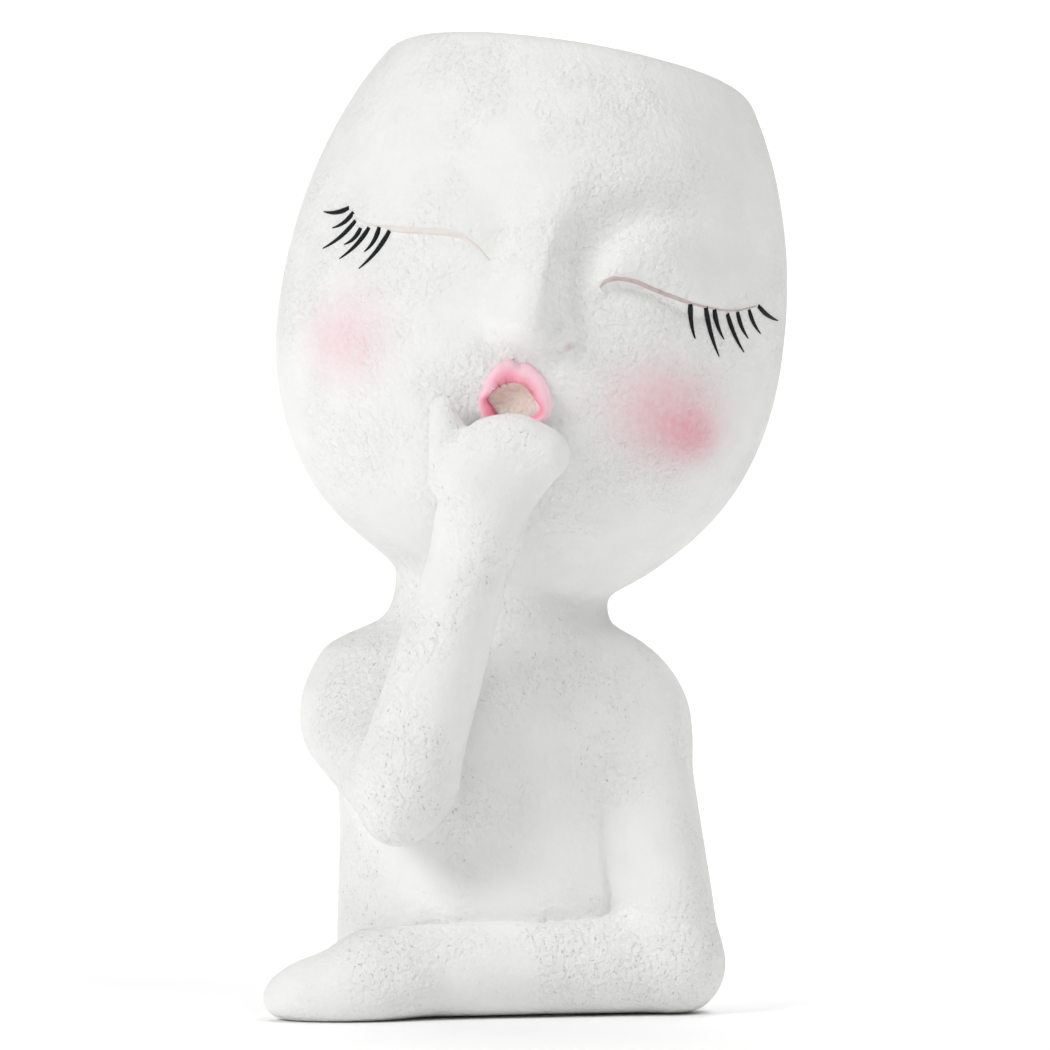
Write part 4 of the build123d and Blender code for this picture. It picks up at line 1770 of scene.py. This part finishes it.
RIGHT_EYE = ClosedEye(
    "right",
    (
        (350, 210, 0.15), (358, 220, 0.2), (372, 225, 0.22), (384, 227, 0.28), (392, 228.6, 0.66), (424, 230.8, 0.76),
        (458, 235, 0.7), (472, 243, 0.5), (490, 260, 0.15),
    ),
    (
        ((348.7, 207.7), (323.7, 211.6)), ((353.3, 212.1), (332.3, 227.8)), ((355.4, 220.6), (322.7, 248.3)),
        ((360.6, 227.8), (344.1, 244.5)), ((369, 227.4), (339.3, 258.6)), ((379.1, 226.9), (364.2, 251.6)),
        ((389.3, 230.7), (358.7, 268.4)),
    ),
    BrushedPaint("E2D5D0", "C6ADA8", "EAE4DF", 0.7, 0.3),
    2.6,
)
LEFT_EYE = ClosedEye(
    "left",
    (
        (600.3, 288, 0.2), (603.6, 282.5, 0.4), (610.2, 279.6, 0.55), (620.1, 279, 0.6), (634.4, 281.6, 0.6),
        (649.8, 288, 0.6), (667.4, 295, 0.58), (682.8, 300.8, 0.5), (689.4, 303, 0.4), (707, 307.4, 0.28),
        (724.6, 310.4, 0.22), (736.7, 310.4, 0.2), (751, 307.4, 0.18), (756.5, 306, 0.15),
    ),
    (
        ((690.6, 303.4), (695.4, 338.8)), ((705.9, 307.2), (719.3, 356.4)), ((714.5, 309.1), (724.1, 339.2)),
        ((727.5, 313.9), (744.2, 352.2)), ((737.5, 312), (748.4, 338.4)), ((749, 309.7), (760.8, 333.6)),
        ((758.2, 305.7), (778, 320.6)),
    ),
    # This eye lies on the shaded side; its lid paint is darker than the other eye's, partly as painted shade.
    BrushedPaint("BBA8A6", "937F7D", "D2C2BF", 0.7, 0.3),
    -1.8,
)
LASH_PAINT = BrushedPaint("0C0D15", "08080D", "151620", 0.6, 0.25)
LUMP_MM = 1.2
# The face's patches: the blush on both cheeks and the cream in the mouth are paint; the last is painted shade.
FACE_PAINT_AND_SHADE = (
    PaintAndShadePatch((-44.8, -30.0, 164.4), (19.0, 30.0, 17.5), "F2A3B8", 0.32),
    PaintAndShadePatch((32.0, -30.0, 146.0), (25.0, 34.0, 19.0), "F08FA4", 0.46, core=0.1, turn=25.0),
    PaintAndShadePatch((38.5, -30.0, 141.5), (11.0, 34.0, 9.0), "EC7F98", 0.42, turn=25.0),
    PaintAndShadePatch((-4.3, -42.0, 150.2), (7.5, 20.0, 6.5), "FBF5E4", 0.92, core=0.5),
    # Painted shade: a darker pink-brown patch in the crease beside the nostril on the shaded side.
    PaintAndShadePatch((9.3, -42.0, 161.8), (2.5, 20.0, 1.4), "C39A9C", 0.45, turn=-25.0),
)


def build_casting(casting: Casting, step: float, margin: float = 4.0) -> None:
    """Makes the four white pieces, which meet without a gap.

    Args:
        casting: The shapes.
        step: The net's step.
        margin: How far the net's space reaches past the part.
    """
    low, high = (
        tuple(value + side * margin for value in Vector(corner) / MM) for corner, side in zip(CAD_BOX, (-1, 1))
    )
    whole = SurfaceNet(step).over(casting.distance, low, high)
    LOG.info("casting: %d faces", len(whole.faces))
    grown = slope(casting.distance, whole.points)
    out = grown / np.maximum(np.linalg.norm(grown, axis=0), 1e-6)
    whole = Mesh(whole.points - out * casting.hollow(whole.points), whole.faces)
    pot, raised, resting = casting.head, casting.raised_arm.distance, casting.resting_arm.distance
    above_neck = pot.place.local(whole.points)[2]
    head, rest = split(whole, np.minimum(above_neck, raised(whole.points) - pot.distance(whole.points)))
    bust = np.minimum(casting.torso.distance(rest.points), resting(rest.points))
    raised_arm, rest = split(rest, bust - raised(rest.points))
    resting_arm, torso = split(rest, casting.torso.distance(rest.points) - resting(rest.points))
    face = CastResin(flaw_depth_mm=0.08, pit_shade_share=0.12, patches=FACE_PAINT_AND_SHADE).material("cast_resin_face")
    plain = CastResin().material("cast_resin_plain")
    piece = make_piece("head_pot_cast", head, face, Body.PLANTER, "head_pot")
    give_value(piece, "outside", pot.plain(head.points) > -pot.wall / 2)
    for node, surface in (("raised_arm", raised_arm), ("resting_arm", resting_arm), ("torso", torso)):
        make_piece(f"{node}_cast", surface, plain, Body.PLANTER, node)


def build_paint(casting: Casting, photograph: Photograph) -> None:
    """Makes the lips, the lid lines and the lashes.

    Args:
        casting: The shapes that they lie on.
        photograph: What they were measured in.
    """
    face = casting.head.with_face
    lips = Lips()
    surface, across = lips.build(photograph, face)
    piece = make_piece("lips_painted", surface, lips.paint.material("lip_paint_and_highlight"), Body.PLANTER, "lips")
    give_value(piece, "across", across)
    tree = StrokeTree()
    lash_paint = LASH_PAINT.material("lash_acrylic")
    for eye in (RIGHT_EYE, LEFT_EYE):
        lid_paint = eye.paint.material(f"{eye.name}_lid_acrylic")
        for kind, paths, spacing, paint, slot, least, seed in (
            ("lid_line", [eye.lid_path(photograph, face)], 0.6, lid_paint, "lid_paint", 0.5, 7),
            ("lashes", eye.lash_paths(photograph, face), 0.5, lash_paint, "lash_paint", 0.0, 9),
        ):
            node = f"{eye.name}_{kind}"
            strokes = tree.strokes(paths, spacing, paint)
            piece = make_piece(f"{node}_painted", strokes, paint, Body.PLANTER, node)
            give_value(piece, "across", least + (1 - least) * lumps(strokes.points, LUMP_MM, seed))


def build_plug(casting: Casting) -> None:
    """Makes the drain's plug.

    Args:
        casting: The shapes that it sits in.
    """
    seat = casting.head.place.at(0, 0, casting.head.floor_at - casting.seat_depth)
    rubber = MouldedRubber().material("silicone_rubber")
    make_piece("drain_plug_moulded", DrainPlug(seat).build(), rubber, Body.PLUG, "drain_plug")


def main() -> None:
    """Builds the planter, its stage and its camera."""
    logging.basicConfig(level=logging.INFO, format="%(message)s")
    photograph = Photograph()
    photograph.set_camera()
    Studio().build()
    casting = Casting()
    build_casting(casting, 1.15)
    build_paint(casting, photograph)
    build_plug(casting)


if __name__ == "__main__":
    main()
